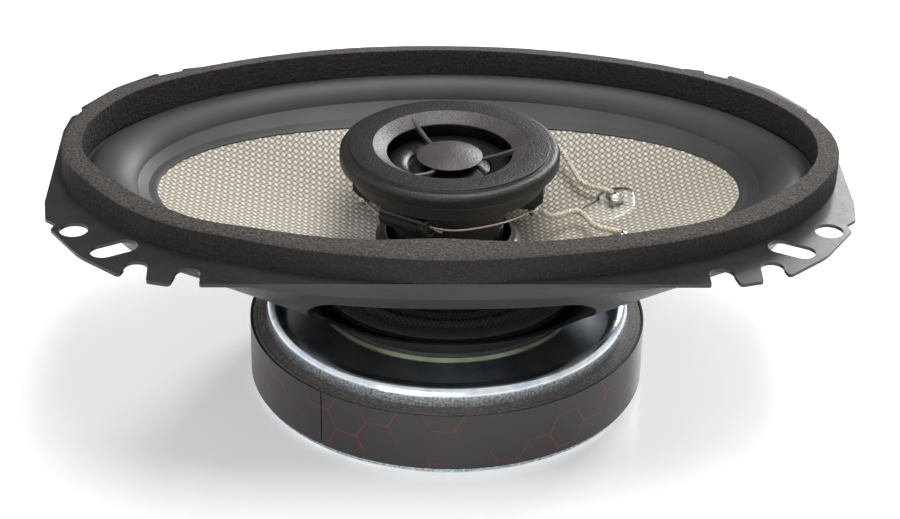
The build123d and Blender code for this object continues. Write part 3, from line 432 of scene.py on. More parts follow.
def bare_metal(name, dark, pale, smooth, dull, grit=0.5):
    """Bare drawn, pressed, plated or melted metal with handling marks of the given grit, which cloud
    its shine."""
    material, tree, place = new_finish(name, Metallic=1.0)
    marks = add(tree, "TexNoise", place, Scale=1 / grit)
    colour = add(tree, "ValToRGB", marks, stops=((0.3, dark), (0.7, pale)))
    rough = add(tree, "MapRange", marks, From_Min=0.3, From_Max=0.7, To_Min=smooth, To_Max=dull)
    bump = add(tree, "Bump", Height=marks, Distance=0.03 * MM, Strength=0.5)
    return cover(material, Base_Color=colour, Roughness=rough, Normal=bump)


def tinsel_braid():
    """Tinsel braid: silvered foil wound on thread, so half metal and half cream cotton, with flecks
    drawn at 0.3 mm, coarser than the foil, so that they show."""
    material, tree, place = new_finish("tinsel_braid", Metallic=0.35)
    fleck = add(tree, "TexNoise", place, Scale=1 / 0.3)
    colour = add(tree, "ValToRGB", fleck, stops=((0.3, "#a5947c"), (0.5, "#dccfbd"), (0.7, "#f4ece0")))
    rough = add(tree, "MapRange", fleck, To_Min=0.3, To_Max=0.6)
    bump = add(tree, "Bump", Height=fleck, Distance=0.05 * MM, Strength=0.6)
    return cover(material, Base_Color=colour, Roughness=rough, Normal=bump)


def cured_adhesive(name, dark, pale, clear, smooth):
    """Cured adhesive: a wet gloss over a body that is clear, or cloudy where it is thick."""
    material, tree, place = new_finish(name, IOR=1.12 if clear else 1.5, Transmission_Weight=clear,
                                       Coat_Weight=1.0 if clear else 0.2, Coat_Roughness=0.05)
    cloud = add(tree, "TexNoise", place, Scale=1 / 1.6)
    colour = add(tree, "ValToRGB", cloud, stops=((0.3, dark), (0.7, pale)))
    rough = add(tree, "MapRange", cloud, To_Min=smooth, To_Max=smooth + 0.12)
    bump = add(tree, "Bump", Height=cloud, Distance=0.15 * MM, Strength=0.4)
    return cover(material, Base_Color=colour, Roughness=rough, Normal=bump)


def pressed_board(name, dark, pale):
    """Pressed, resin-soaked board with short fibres showing at the surface."""
    material, tree, place = new_finish(name)
    fibre = add(tree, "TexNoise", place, Scale=1 / 0.5, Detail=5.0, Roughness=0.7)
    colour = add(tree, "ValToRGB", fibre, stops=((0.35, dark), (0.65, pale)))
    rough = add(tree, "MapRange", fibre, To_Min=0.6, To_Max=0.85)
    bump = add(tree, "Bump", Height=fibre, Distance=0.06 * MM, Strength=0.6)
    return cover(material, Base_Color=colour, Roughness=rough, Normal=bump)


zinc = zinc_plated_steel()
powder_coat = powder_coated_steel()
foam = closed_cell_foam()
rubber = butyl_rubber()
glass_weave = woven_glass_fibre()
spider_cotton = phenolic_cotton()
satin_abs = moulded_abs("satin_abs", 0.35, 0.12, "#423e3d", "#524c4b")
# Darker copy of the bezel's ABS for its steep faces and the housing under it: painted shade.
painted_shade_abs = moulded_abs("painted_shade_abs", 0.35, 0.12, "#131212", "#1c1a1a")
fin_abs = moulded_abs("fin_abs", 0.35, 0.03, "#3a3636", "#4b4645")
coarse_abs = moulded_abs("coarse_abs", 0.5, 0.35, "#35302f", "#4a4543")
draped_film = dark_gloss("draped_film", 0.6, 0.15, "#0c0b0b", "#1b1919", 0.26, 0.42)
shrink_sleeve = dark_gloss("shrink_sleeve", 1.4, 0.03, "#0d0d0e", "#19191b", 0.16, 0.3)
dipped_post = dark_gloss("dipped_post", 0.8, 0.03, "#120d0b", "#1f1713", 0.28, 0.45)
end_rubber = dark_gloss("end_rubber", 0.5, 0.03, "#141312", "#211f1e", 0.5, 0.7)
tinned_wire = bare_metal("tinned_wire", "#b3a996", "#d8cfbb", 0.22, 0.34, 3.0)
solder = bare_metal("solder", "#a9aaa8", "#dcdcd8", 0.1, 0.26, 0.9)
tin_plate = bare_metal("tin_plate", "#a8a496", "#cfcabb", 0.2, 0.4)
rivet_steel = bare_metal("rivet_steel", "#6f7275", "#9a9da0", 0.25, 0.45)
foil = bare_metal("foil", "#a2a3a4", "#c4c5c6", 0.2, 0.4)
enamelled_copper = bare_metal("enamelled_copper", "#6b3419", "#9b552e", 0.22, 0.4)
nickel_plate = bare_metal("nickel_plate", "#a39f96", "#c2beb4", 0.15, 0.3)
braid = tinsel_braid()
clear_glue = cured_adhesive("clear_glue", "#dfe5e8", "#f6f8f8", 1.0, 0.04)
amber_glue = cured_adhesive("amber_glue", "#2b251f", "#4a4137", 0.0, 0.35)
fibreboard = pressed_board("fibreboard", "#17120e", "#2a211a")
phenolic_paper = pressed_board("phenolic_paper", "#6b4424", "#8a5c33")

FINISHES = {
    "yoke": zinc, "top_plate": zinc, "tweeter_pot": zinc, "tweeter_pole_plate": zinc,
    "magnet": ground_ferrite(), "magnet_wrap": printed_film(), "tweeter_magnet": nickel_plate,
    "basket": powder_coat, "basket_rivets": rivet_steel, "terminal_rivets": rivet_steel,
    "foam_gasket": foam, "spider_ring": fibreboard, "spider": spider_cotton, "surround": rubber,
    "cone": damped_glass_fibre(), "neck_glue": amber_glue, "voice_coil_former": foil,
    "voice_coil_winding": enamelled_copper, "coil_leadouts": enamelled_copper,
    "tweeter_coil": enamelled_copper,
    "cone_eyelets": solder, "eyelet_glue": clear_glue, "tweeter_post": dipped_post,
    "centre_screw": screw_steel(), "tweeter_dome": draped_film, "tweeter_surround": draped_film,
    # The housing under the bezel gets the darker ABS copy, which is painted shade.
    "tweeter_housing": painted_shade_abs, "tweeter_bezel": satin_abs, "tweeter_pins": tin_plate,
    "lug_solder": solder, "capacitor": shrink_sleeve, "capacitor_wire_long": tinned_wire,
    "capacitor_wire_short": tinned_wire, "front_lead_positive": braid, "front_lead_negative": braid,
    "rear_lead_positive": braid, "rear_lead_negative": braid, "terminal_board": phenolic_paper,
    "terminal_positive": tin_plate, "terminal_negative": tin_plate,
}


# ---- mesh and curve helpers ----

FILLET_STEPS = 4
LINE_STEP = 0.22        # length between a wire's or a braid's rings


def piece(name, points, faces, finish, smooth=True):
    """New mesh piece from points in millimetres, its faces and one finish."""
    mesh = bpy.data.meshes.new(name)
    mesh.from_pydata([Vector(p) * MM for p in points], [], faces)
    mesh.polygons.foreach_set("use_smooth", [smooth] * len(mesh.polygons))
    mesh.materials.append(finish)
    mesh.update()
    made = bpy.data.objects.new(name, mesh)
    bpy.context.scene.collection.objects.link(made)
    return made


def grid_faces(rows, columns, close_rows=True, close_columns=False):
    """Quads of a grid of points stored row by row. A closed direction joins its last line to its first."""
    faces = []
    for i in range(rows if close_rows else rows - 1):
        for j in range(columns if close_columns else columns - 1):
            a, b = i * columns, (i + 1) % rows * columns
            k = (j + 1) % columns
            faces.append((a + j, b + j, b + k, a + k))
    return faces


def arc(centre, radius, start, stop, steps):
    """Points (across, up) on an arc between two angles in degrees."""
    angles = np.radians(np.linspace(start, stop, steps + 1))
    return [(centre[0] + radius * math.cos(a), centre[1] + radius * math.sin(a)) for a in angles]


def lathe(name, outline, finish, steps=128, closed=False):
    """Piece turned about Z from (radius, level) points that go anticlockwise round the material."""
    points = []
    for i in range(steps):
        c, s = math.cos(2 * math.pi * i / steps), math.sin(2 * math.pi * i / steps)
        points += [(r * c, r * s, z) for r, z in outline]
    return piece(name, points, grid_faces(steps, len(outline), True, closed), finish)


def rounded(outline, corners):
    """(across, up) points of an outline whose corner at each index gets a fillet of the given radius."""
    result = []
    count = len(outline)
    for i, point in enumerate(outline):
        if not corners[i]:
            result.append(point)
            continue
        here = Vector(point)
        back = Vector(outline[i - 1]) - here
        ahead = Vector(outline[(i + 1) % count]) - here
        half = back.angle(ahead) / 2
        reach = corners[i] / math.tan(half)
        centre = here + (back.normalized() + ahead.normalized()).normalized() * corners[i] / math.sin(half)
        first = here + back.normalized() * reach - centre
        last = here + ahead.normalized() * reach - centre
        turn = first.angle_signed(last)
        for k in range(FILLET_STEPS + 1):
            spoke = first.copy()
            spoke.rotate(Matrix.Rotation(-turn * k / FILLET_STEPS, 2))
            result.append(tuple(centre + spoke))
    return result


def edge_split(made, degrees=32):
    """Keeps edges sharper than this crisp while the rest is shaded smooth."""
    split = made.modifiers.new("crisp_edges", "EDGE_SPLIT")
    split.split_angle = math.radians(degrees)


def length_along(line):
    """Length from a line's start to each of its points."""
    return np.concatenate([[0], np.cumsum(np.linalg.norm(np.diff(line, axis=0), axis=1))])


def smooth_line(route):
    """Points in millimetres along the smooth curve that a route of control points gives, evenly spaced."""
    curve = bpy.data.curves.new("route", "CURVE")
    curve.dimensions = "3D"
    curve.resolution_u = 24
    spline = curve.splines.new("NURBS")
    spline.points.add(len(route) - 1)
    for point, place in zip(spline.points, route):
        point.co = (*(Vector(place) * MM), 1.0)
    spline.order_u = 3
    spline.use_endpoint_u = True
    holder = bpy.data.objects.new("route", curve)
    bpy.context.scene.collection.objects.link(holder)
    mesh = bpy.data.meshes.new_from_object(holder.evaluated_get(bpy.context.evaluated_depsgraph_get()))
    line = np.array([v.co for v in mesh.vertices]) / MM
    bpy.data.objects.remove(holder)
    bpy.data.curves.remove(curve)
    bpy.data.meshes.remove(mesh)
    run = length_along(line)
    even = np.linspace(0, run[-1], max(12, int(run[-1] / LINE_STEP)))
    return np.stack([np.interp(even, run, line[:, k]) for k in range(3)], axis=1)


def side_vectors(line):
    """Two vectors square to a line at each of its points, carried along it without twist."""
    along = np.gradient(line, axis=0)
    along /= np.linalg.norm(along, axis=1)[:, None]
    side = np.cross(along[0], (0.0, 0.0, 1.0))
    ones, twos = [], []
    for direction in along:
        side = side - direction * np.dot(side, direction)
        side /= np.linalg.norm(side)
        ones.append(side)
        twos.append(np.cross(direction, side))
    return np.array(ones), np.array(twos)


def tube(line, radius, sides):
    """Points and faces of a round tube with capped ends along a line; radius may vary along it."""
    ones, twos = side_vectors(line)
    angles = np.linspace(0, 2 * math.pi, sides, endpoint=False)
    width = np.broadcast_to(radius, len(line))
    rings = line[:, None] + width[:, None, None] * (
        np.cos(angles)[None, :, None] * ones[:, None] + np.sin(angles)[None, :, None] * twos[:, None])
    points = [tuple(p) for ring in rings for p in ring]
    faces = grid_faces(len(line), sides, False, True)
    faces.append(tuple(range(sides)))
    faces.append(tuple(range((len(line) - 1) * sides, len(line) * sides))[::-1])
    return points, faces


def join_parts(parts):
    """Points and faces of several parts as one list each."""
    points, faces = [], []
    for more_points, more_faces in parts:
        faces += [tuple(i + len(points) for i in face) for face in more_faces]
        points += more_points
    return points, faces


def weights(made, weight):
    """Sets how far each point of a blended piece moves, 0 to 1, from a function of its place."""
    values = np.array([weight(v.co / MM) for v in made.data.vertices])
    data = made.data.attributes["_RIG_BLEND"].data
    data.foreach_set("value", values.astype(np.float32))


def ease(share):
    """Smooth step from 0 to 1."""
    share = min(max(share, 0.0), 1.0)
    return share * share * (3 - 2 * share)


def cone_share(x, y):
    """How far a place on the cone lies from its neck, 0, to its rim, 1."""
    share = 0.5
    for _ in range(12):
        a = NECK_RADIUS + (RIM_END - NECK_RADIUS) * share
        b = NECK_RADIUS + (RIM_SIDE - NECK_RADIUS) * share
        share *= math.sqrt((x / a) ** 2 + (y / b) ** 2)
    return share


def cone_level(x, y):
    """Height of the cone's front face at a place."""
    return NECK_Z + (RIM_Z - NECK_Z) * cone_share(x, y)


def wander(angle, waves, seed):
    """Gentle random wave round a ring, about 1 high, the same every run."""
    return sum(math.sin(k * angle + seed * (k + 1.3)) / k ** 0.7 for k in waves) / len(waves)


# ---- soft ring round the frame ----

# Where the hand-laid foam strays: middle and half width in degrees round the oval, then how far its
# outer edge, inner edge and top move.
FOAM_STRAYS = (
    (-158, 14, -1.8, -1.4, 0.0), (178, 10, -0.6, -0.2, 0.0), (149, 13, 1.6, 0.7, 0.1),
    (-130, 7, 0.0, 0.9, 0.0), (-121, 7, -0.5, 0.0, 0.1), (-92, 9, 0.7, -2.0, 0.0),
    (-49, 12, 0.4, 0.8, -0.1), (-20, 8, -0.4, 0.1, 0.0), (35, 9, 0.6, 0.2, 0.0),
    (62, 20, -0.5, -0.6, 0.0), (88, 10, -0.3, 0.1, 0.0),
)
FOAM_OUTER_TOP = FOAM_TOP - 0.33        # the cut top slopes down and outward
FOAM_INNER_TOP = FOAM_TOP + 0.4


def foam_stray(degrees, column):
    """Sum of the strays of one kind at an angle round the oval."""
    total = 0.0
    for row in FOAM_STRAYS:
        away = (degrees - row[0] + 180) % 360 - 180
        total += row[column] * math.exp(-(away / row[1]) ** 2)
    return total


def make_foam_gasket():
    """Foam strip laid by hand round the flange: it strays in and out, and its cut top slopes outward."""
    rows = 720
    on_flange = FLANGE_TOP + 0.02
    on_lip = FOAM_FOOT + 0.05
    points = []
    for i in range(rows):
        angle = 2 * math.pi * i / rows
        degrees = math.degrees(angle)
        fine = noise.noise(Vector((math.cos(angle) * 40, math.sin(angle) * 25, 0.0)))
        outer = FOAM_END + foam_stray(degrees, 2) + 0.08 * wander(angle, (5, 9, 14), 2.0)
        inner = FOAM_END - FOAM_WALL + foam_stray(degrees, 3) + 0.1 * wander(angle, (4, 7, 13), 5.0)
        lift = foam_stray(degrees, 4) + 0.06 * wander(angle, (6, 11, 17), 8.0) + 0.04 * fine
        foot = FOAM_END - 0.1 + 0.4 * (outer - FOAM_END)
        heel = FOAM_END - FOAM_WALL + 0.1 + 0.3 * (inner - FOAM_END + FOAM_WALL)
        high_side, low_side = FOAM_INNER_TOP + lift, FOAM_OUTER_TOP + lift
        section = [
            (foot, on_flange), ((foot + outer) / 2, FLANGE_TOP + 1.5),
            (outer + 0.06 * fine, low_side - 1.4),
            (outer + 0.04 * fine, low_side - 0.15), (outer - 0.15, low_side),
            ((2 * outer + inner) / 3, (2 * low_side + high_side) / 3 + 0.04 * fine),
            ((outer + 2 * inner) / 3, (low_side + 2 * high_side) / 3 - 0.04 * fine),
            (inner + 0.15, high_side), (inner + 0.05 * fine, high_side - 0.15),
            (inner, high_side - 2.0), (heel, on_lip), (LIP_END - 0.6, on_lip), (LIP_END - 0.1, on_flange),
        ]
        for reach, level in section:
            points.append((reach * math.cos(angle), (reach - FOAM_END + FOAM_SIDE) * math.sin(angle), level))
    ring = piece("foam_ring", points, grid_faces(rows, len(section), True, True), foam)
    edge_split(ring, 40)
    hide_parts("foam_gasket")
    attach(ring, "frame")


# ---- surround, cone and spider ----

ROLL_OVERLAP = 0.9      # how far the roll's inner foot reaches in over the cone's rim
BEAD_INSET = 1.7        # from the cone's rim to where the bead's foot begins
BAND_THICK = 0.42


def roll_outline():
    """Top of the surround's roll, and of its lip, as (reach along the long axis, level) going outward."""
    inner, outer = RIM_END - ROLL_OVERLAP, ROLL_END
    chord = Vector((outer - inner, LIP_TOP - RIM_Z))
    rise = ROLL_CREST - (RIM_Z + LIP_TOP) / 2
    outline = []
    for k in range(25):
        share = k / 24
        bulge = math.sqrt(max(0.0, 1 - (2 * share - 1) ** 2)) ** 1.15
        outline.append((inner + chord.x * share, RIM_Z + chord.y * share + rise * bulge))
    foot = [(outer + 0.25, LIP_TOP), (outer + 0.9, LIP_TOP + 0.02), (LIP_END - 0.3, LIP_TOP + 0.02),
            (LIP_END, LIP_TOP - 0.2), (LIP_END, LIP_TOP - RUBBER)]
    return outline, foot


def make_surround():
    """Rubber surround: flat band on the cone with a fine bead at the roll's foot, half roll and lip."""
    outline, foot = roll_outline()
    bead = [(RIM_END - 1.4, BAND_THICK), (RIM_END - 1.3, 0.66), (RIM_END - 1.1, 0.68), (RIM_END - 1.0, 0.4)]
    flat = [(0.0, 0.05), (0.015, 0.38)] + [(share, BAND_THICK) for share in (0.05, 0.3, 0.6, 0.95, 1.0)]
    rows = 360
    points = []
    for i in range(rows):
        angle = 2 * math.pi * i / rows
        c, s = math.cos(angle), math.sin(angle)
        band = []
        for share, thick in flat:
            x = (RIM_END - BAND_END + share * (BAND_END - BEAD_INSET)) * c
            y = (RIM_SIDE - BAND_SIDE + share * (BAND_SIDE - BEAD_INSET * OVAL)) * s
            band.append((x, y, cone_level(x, y) + thick))
        for reach, thick in bead:
            x, y = reach * c, reach * OVAL * s
            band.append((x, y, cone_level(x, y) + thick))
        roll = [(r * c, r * OVAL * s, z) for r, z in outline[1:] + foot]
        under = [(r * c, r * OVAL * s, z - RUBBER) for r, z in reversed(outline[2:-1])]
        points += band + roll + under
    columns = len(flat) + len(bead) + len(outline) - 1 + len(foot) + len(outline) - 3
    ring = piece("rubber_surround", points, grid_faces(rows, columns, True, True), rubber)
    edge_split(ring, 35)
    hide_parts("surround")
    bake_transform(ring, "frame", "cone", start=(0, 0, LIP_TOP * MM), end=(0, 0, RIM_Z * MM))

    def moving(place):
        reach = math.hypot(place.x, place.y / OVAL)
        return ease((ROLL_END - reach) / (ROLL_END - RIM_END + ROLL_OVERLAP))
    weights(ring, moving)


SKIN_LIFT = 0.14        # the woven skin's middle height over the cone
TOW_RISE = 0.06
SKIN_TUCK = 1.2         # how far the skin runs on under the rubber band


def make_cone_skin():
    """Woven front of the cone as real tows: a fine net along both tow directions that rises and dips."""
    step = TOW_PITCH / 4
    end, side = RIM_END - BAND_END + SKIN_TUCK, RIM_SIDE - BAND_SIDE + SKIN_TUCK
    reach = int(math.hypot(end, side) * TOW_LEAN[0] / step) + 1
    index, points = {}, []
    for i in range(-reach, reach + 1):
        for j in range(-reach, reach + 1):
            u, v = (i + 0.5) * step, (j + 0.5) * step
            x, y = (u - v) / math.sqrt(2) / TOW_LEAN[0], (u + v) / math.sqrt(2) / TOW_LEAN[1]
            if (x / end) ** 2 + (y / side) ** 2 > 1 or math.hypot(x, y) < NECK_RADIUS + 0.6:
                continue
            wave = math.sin(math.pi * u / TOW_PITCH) * math.sin(math.pi * v / TOW_PITCH)
            index[i, j] = len(points)
            points.append((x, y, cone_level(x, y) + SKIN_LIFT + TOW_RISE * wave))
    faces = []
    for i, j in index:
        ring = [index.get(key) for key in ((i, j), (i + 1, j), (i + 1, j + 1), (i, j + 1))]
        if None not in ring:
            faces.append(tuple(ring))
    skin = piece("cone_weave", points, faces, glass_weave)
    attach(skin, "cone")


SPIDER_COLLAR = 1.2     # flat ring glued to the former
SPIDER_LIP = 3.2        # flat ring glued in the basket
SPIDER_HALF = 0.2       # half the cloth's thickness
SPIDER_WAVES = 3
SPIDER_WAVE_RISE = 0.45


def make_spider():
    """Corrugated spider of open cloth, from the former's collar to the ring in the basket."""
    collar, lip = FORMER_RADIUS + SPIDER_COLLAR, SPIDER_RADIUS - SPIDER_LIP
    middle = SPIDER_LEVEL + 0.25
    outline = [(FORMER_RADIUS + 0.05, middle + 0.1)]
    for share in np.linspace(0, 1, 49):
        rise = SPIDER_WAVE_RISE * (1 - math.cos(2 * SPIDER_WAVES * math.pi * share))
        outline.append((collar + (lip - collar) * share, middle + rise))
    outline.append((SPIDER_RADIUS, middle))
    thick = [(r, z + SPIDER_HALF) for r, z in outline] + [(r, z - SPIDER_HALF) for r, z in reversed(outline)]
    ring = lathe("cloth_spider", thick, spider_cotton, 144, closed=True)
    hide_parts("spider")
    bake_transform(ring, "frame", "cone", start=(0, 0, 0), end=(0, 0, 1))
    weights(ring, lambda p: ease((lip - math.hypot(p.x, p.y)) / (lip - collar)))


NECK_BEAD_WIDE = 2.0
NECK_BEAD_TALL = 1.2


def make_neck_bead():
    """Brushed bead of amber adhesive where the cone meets the former."""
    rows = 180
    points = []
    for i in range(rows):
        angle = 2 * math.pi * i / rows
        wide = NECK_BEAD_WIDE + 0.4 * wander(angle, (3, 7, 12), 1.0)
        tall = NECK_BEAD_TALL + 0.25 * wander(angle, (4, 9, 15), 3.0)
        for k in range(9):
            turn = math.pi / 2 * k / 8
            r = FORMER_RADIUS + 0.05 + wide * math.sin(turn)
            x, y = r * math.cos(angle), r * math.sin(angle)
            floor = cone_level(x, y) if r > NECK_RADIUS else NECK_Z
            points.append((x, y, max(NECK_Z + tall * math.cos(turn), floor + 0.05)))
    bead = piece("neck_bead", points, grid_faces(rows, 9), amber_glue)
    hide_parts("neck_glue")
    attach(bead, "cone")


# ---- eyelets and their glue ----

GLUE_PADS = {
    # name: centre, outline radius at eight angles from +X
    "glue_pad_back": ((32.3, 4.0), (5.4, 6.5, 6.0, 4.2, 5.6, 6.0, 6.0, 5.6)),
    "glue_pad_front": ((32.2, -13.4), (4.0, 3.7, 4.1, 4.4, 4.2, 3.6, 3.5, 3.8)),
}
PAD_TALL = 0.95         # thickness of a pad's middle
PAD_LIFT = 0.16         # a pad's edge over the cone


def pad_radius(radii, angle):
    """Outline radius of a pad between its eight given ones, smoothly."""
    spot = (angle / (math.pi / 4)) % 8
    k = int(spot)
    blend = ease(spot - k)
    return radii[k] * (1 - blend) + radii[(k + 1) % 8] * blend


def make_glue_pads():
    """Clear adhesive poured over each eyelet: a flat drop with a steep rounded edge."""
    for name, ((cx, cy), radii) in GLUE_PADS.items():
        rows, rings = 72, 12
        points = []
        for i in range(rows):
            angle = 2 * math.pi * i / rows
            reach = pad_radius(radii, angle)
            for k in range(rings):
                share = math.sin(math.pi / 2 * (k + 0.4) / (rings - 0.6))
                x = cx + reach * share * math.cos(angle)
                y = cy + reach * share * math.sin(angle)
                height = PAD_TALL * math.sqrt(max(0.0, 1 - share ** 2.6)) + PAD_LIFT
                points.append((x, y, cone_level(x, y) + height))
        faces = grid_faces(rows, rings)
        faces.append(tuple(i * rings for i in range(rows))[::-1])
        pad = piece(name, points, faces, clear_glue)
        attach(pad, "cone")
    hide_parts("eyelet_glue")


# ---- tweeter ----

THROAT_FOOT = 12.2      # radius of the throat's lower edge
THROAT_TOP = 15.1       # and of its upper edge, where the face begins
FACE_EDGE = BEZEL_RADIUS - 2.0
SKIRT_WALL = 1.4
THROAT_ZONE = 15.2      # inside this radius the upward faces have the throat's coarse grain
PAINTED_SHADE_SLOPE = 0.4       # faces steeper than this get the darker ABS copy, as painted shade


def make_bezel():
    """Front ring of the tweeter: rounded skirt, stepped face and a conical throat."""
    r, top = BEZEL_RADIUS, FACE_Z
    under = top - 1.6
    # Each corner as radius, level and fillet.
    corners = [
        (THROAT_FOOT, top - 1.75, 0.25), (THROAT_TOP, top, 0.3), (FACE_EDGE, top, 0.12),
        (FACE_EDGE + 0.1, top - 0.45, 0.1), (r, top - 0.4, 1.25), (r, BEZEL_Z, 0.3),
        (r - SKIRT_WALL, BEZEL_Z, 0.2), (r - SKIRT_WALL, under - 0.4, 0.3), (16.2, under - 0.6, 0.4),
        (12.9, top - 2.4, 0.2),
    ]
    outline = [corner[:2] for corner in corners]
    fillets = [corner[2] for corner in corners]
    ring = lathe("tweeter_front_ring", rounded(outline, fillets), satin_abs, 192, closed=True)
    ring.data.materials.append(coarse_abs)
    ring.data.materials.append(painted_shade_abs)
    # Upward faces in the throat get the coarse grain; steeper faces outside it get the darker ABS copy, which
    # is painted shade.
    for face_part in ring.data.polygons:
        centre = face_part.center / MM
        reach = math.hypot(centre.x, centre.y)
        if reach < THROAT_ZONE and face_part.normal.z > 0.1:
            face_part.material_index = 1
        elif reach > THROAT_ZONE and face_part.normal.z < PAINTED_SHADE_SLOPE:
            face_part.material_index = 2
    edge_split(ring, 40)
    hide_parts("tweeter_bezel")
    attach(ring, "frame")
    make_phase_disc()


DISC_RADIUS = 6.5
DISC_RISE = 1.5         # height of its crown over its rim
DISC_RIM_Z = FACE_Z - 2.6


def make_phase_disc():
    """Lens-shaped phase disc, held by three fins that rise from it to the throat."""
    r, rim_z = DISC_RADIUS, DISC_RIM_Z
    ball = (r * r + DISC_RISE * DISC_RISE) / (2 * DISC_RISE)
    crown = [(max(ball * math.sin(a), 0.02), rim_z + DISC_RISE - ball + ball * math.cos(a))
             for a in np.linspace(0, math.asin((r - 0.15) / ball), 12)]
    back = [(0.02, rim_z - 0.4), (r - 0.4, rim_z - 0.4), (r, rim_z - 0.15), (r, rim_z + 0.02)]
    outline = back + crown[::-1]
    disc = lathe("phase_disc", outline, satin_abs, 96)
    edge_split(disc, 40)
    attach(disc, "frame")
    for k, angle in enumerate((0, 120, 240)):
        fin = make_fin(f"phase_fin_{k + 1}", angle)
        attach(fin, "frame")


def make_fin(name, angle):
    """Thin fin from under the phase disc's rim out to the throat. The bevels of its top take the light."""
    # Radius, top and foot at four places along it.
    stations = [
        (5.4, DISC_RIM_Z - 0.35, DISC_RIM_Z - 0.9), (6.6, DISC_RIM_Z - 0.3, DISC_RIM_Z - 0.9),
        (9.5, DISC_RIM_Z + 0.45, DISC_RIM_Z - 0.5), (14.9, FACE_Z - 0.2, FACE_Z - 1.5),
    ]
    half, bevel = 0.42, 0.22
    points = []
    for r, z, foot in stations:
        points += [(r, -half, foot), (r, -half, z - bevel), (r, bevel - half, z), (r, half - bevel, z),
                   (r, half, z - bevel), (r, half, foot)]
    faces = grid_faces(4, 6, False, True) + [tuple(range(6))[::-1], tuple(range(18, 24))]
    turn = Matrix.Rotation(math.radians(angle), 4, "Z")
    fin = piece(name, [turn @ Vector(p) for p in points], faces, fin_abs)
    edge_split(fin, 20)
    return fin


TWEETER_ROLL_END = 12.6
TWEETER_ROLL_RISE = 1.1
SEAT_RADIUS = 13.75     # outer edge of the film, on the seat ring
SEAT_LIFT = 0.3


def make_tweeter_roll():
    """Half-roll edge of the diaphragm, glossy, from the dome's rim to the seat ring."""
    inner, outer = DOME_RADIUS - 0.3, TWEETER_ROLL_END
    middle, half, level = (inner + outer) / 2, (outer - inner) / 2, DOME_Z + SEAT_LIFT
    outline = [(middle + half * math.cos(a), level + TWEETER_ROLL_RISE * math.sin(a))
               for a in np.linspace(math.pi, 0, 17)] + [(SEAT_RADIUS, level), (SEAT_RADIUS, DOME_Z)]
    ring = lathe("tweeter_roll", outline[::-1], draped_film, 128)
    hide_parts("tweeter_surround")
    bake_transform(ring, "frame", "dome", start=(0, 0, 0), end=(0, 0, 1))
    weights(ring, lambda p: ease((outer - math.hypot(p.x, p.y)) / (outer - inner)))


# ---- capacitor and its wires ----

CAN_LENGTH = 11.0
CAN_RADIUS = 2.5
CAN_TURN = -33.5        # degrees that its long axis is turned from the oval's
CAPACITOR_PLACE = (Matrix.Translation((low("capacitor") + high("capacitor")) / 2)
                   @ Matrix.Rotation(math.radians(CAN_TURN), 4, "Z"))


def make_capacitor():
    """Electrolytic can in its shrink sleeve, with the rolled groove and the rubber seal at its wired end."""
    half, r = CAN_LENGTH / 2, CAN_RADIUS
    groove = half - 1.6
    closed_end = [(-half, 0.05), (-half, 1.5), (-half + 0.06, 1.9)]
    closed_end += arc((-half + 0.5, r - 0.5), 0.5, 180, 90, 4)
    side = [(-1.0, r), (groove - 1.0, r), (groove - 0.7, r - 0.04)]
    rolled = [(groove + 0.6 * math.sin(a), r - 0.2 - 0.17 * math.cos(a)) for a in np.linspace(-1.9, 1.9, 7)]
    shoulder = [(groove + 0.75, r - 0.03)] + arc((half - 0.35, r - 0.35), 0.35, 90, -40, 5)
    crimp = [(half - 0.05, r - 0.85), (half - 0.35, r - 0.95)]
    outline = closed_end + side + rolled + shoulder + crimp
    seal = [(half - 0.35, r - 0.95), (half - 0.42, 1.0), (half - 0.42, 0.05)]
    steps = 64
    for name, line, finish in (("capacitor_can", outline, shrink_sleeve),
                               ("capacitor_seal", seal, end_rubber)):
        points = []
        for i in range(steps):
            angle = 2 * math.pi * i / steps
            c, s = math.cos(angle), math.sin(angle)
            points += [CAPACITOR_PLACE @ Vector((x, d * c, d * s)) for x, d in line]
        can = piece(name, points, grid_faces(steps, len(line)), finish)
        edge_split(can, 45)
        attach(can, "frame")
        if name == "capacitor_can":
            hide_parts("capacitor")


def polar(radius, degrees, level):
    """Point at a radius, an angle and a level."""
    return (radius * math.cos(math.radians(degrees)), radius * math.sin(math.radians(degrees)), level)


def in_capacitor(x, y, z):
    """Point given in the capacitor's own frame."""
    return tuple(CAPACITOR_PLACE @ Vector((x, y, z)))


LUG_LEVEL = (low("lug_solder").z + high("lug_solder").z) / 2

CAPACITOR_WIRES = {
    "capacitor_wire_long": (
        in_capacitor(5.1, -1.0, 0.4), in_capacitor(9.3, -0.9, 0.2),
        polar(17.2, -66, HOUSING_Z - 2.9), polar(17.4, -42, HOUSING_Z - 3.3),
        polar(17.3, -22, LUG_LEVEL + 2.4), polar(17.0, -12.2, LUG_LEVEL + 0.3),
    ),
    "capacitor_wire_short": (
        in_capacitor(5.1, 0.8, -1.0), in_capacitor(6.9, 1.2, -1.5), in_capacitor(6.2, 2.2, -2.2),
        in_capacitor(-1.5, 2.1, -2.3), in_capacitor(-7.1, 1.0, -2.2), polar(17.0, 182.0, LUG_LEVEL + 1.5),
        polar(17.0, 176.2, LUG_LEVEL + 0.4),
    ),
}


def make_capacitor_wires():
    """Tinned wires, one in a long arc under the bezel and one turned back under the can."""
    for node, route in CAPACITOR_WIRES.items():
        points, faces = tube(smooth_line(route), WIRE_RADIUS, 16)
        wire = piece(node + "_drawn", points, faces, tinned_wire)
        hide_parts(node)
        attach(wire, "frame")


# ---- braided leads ----

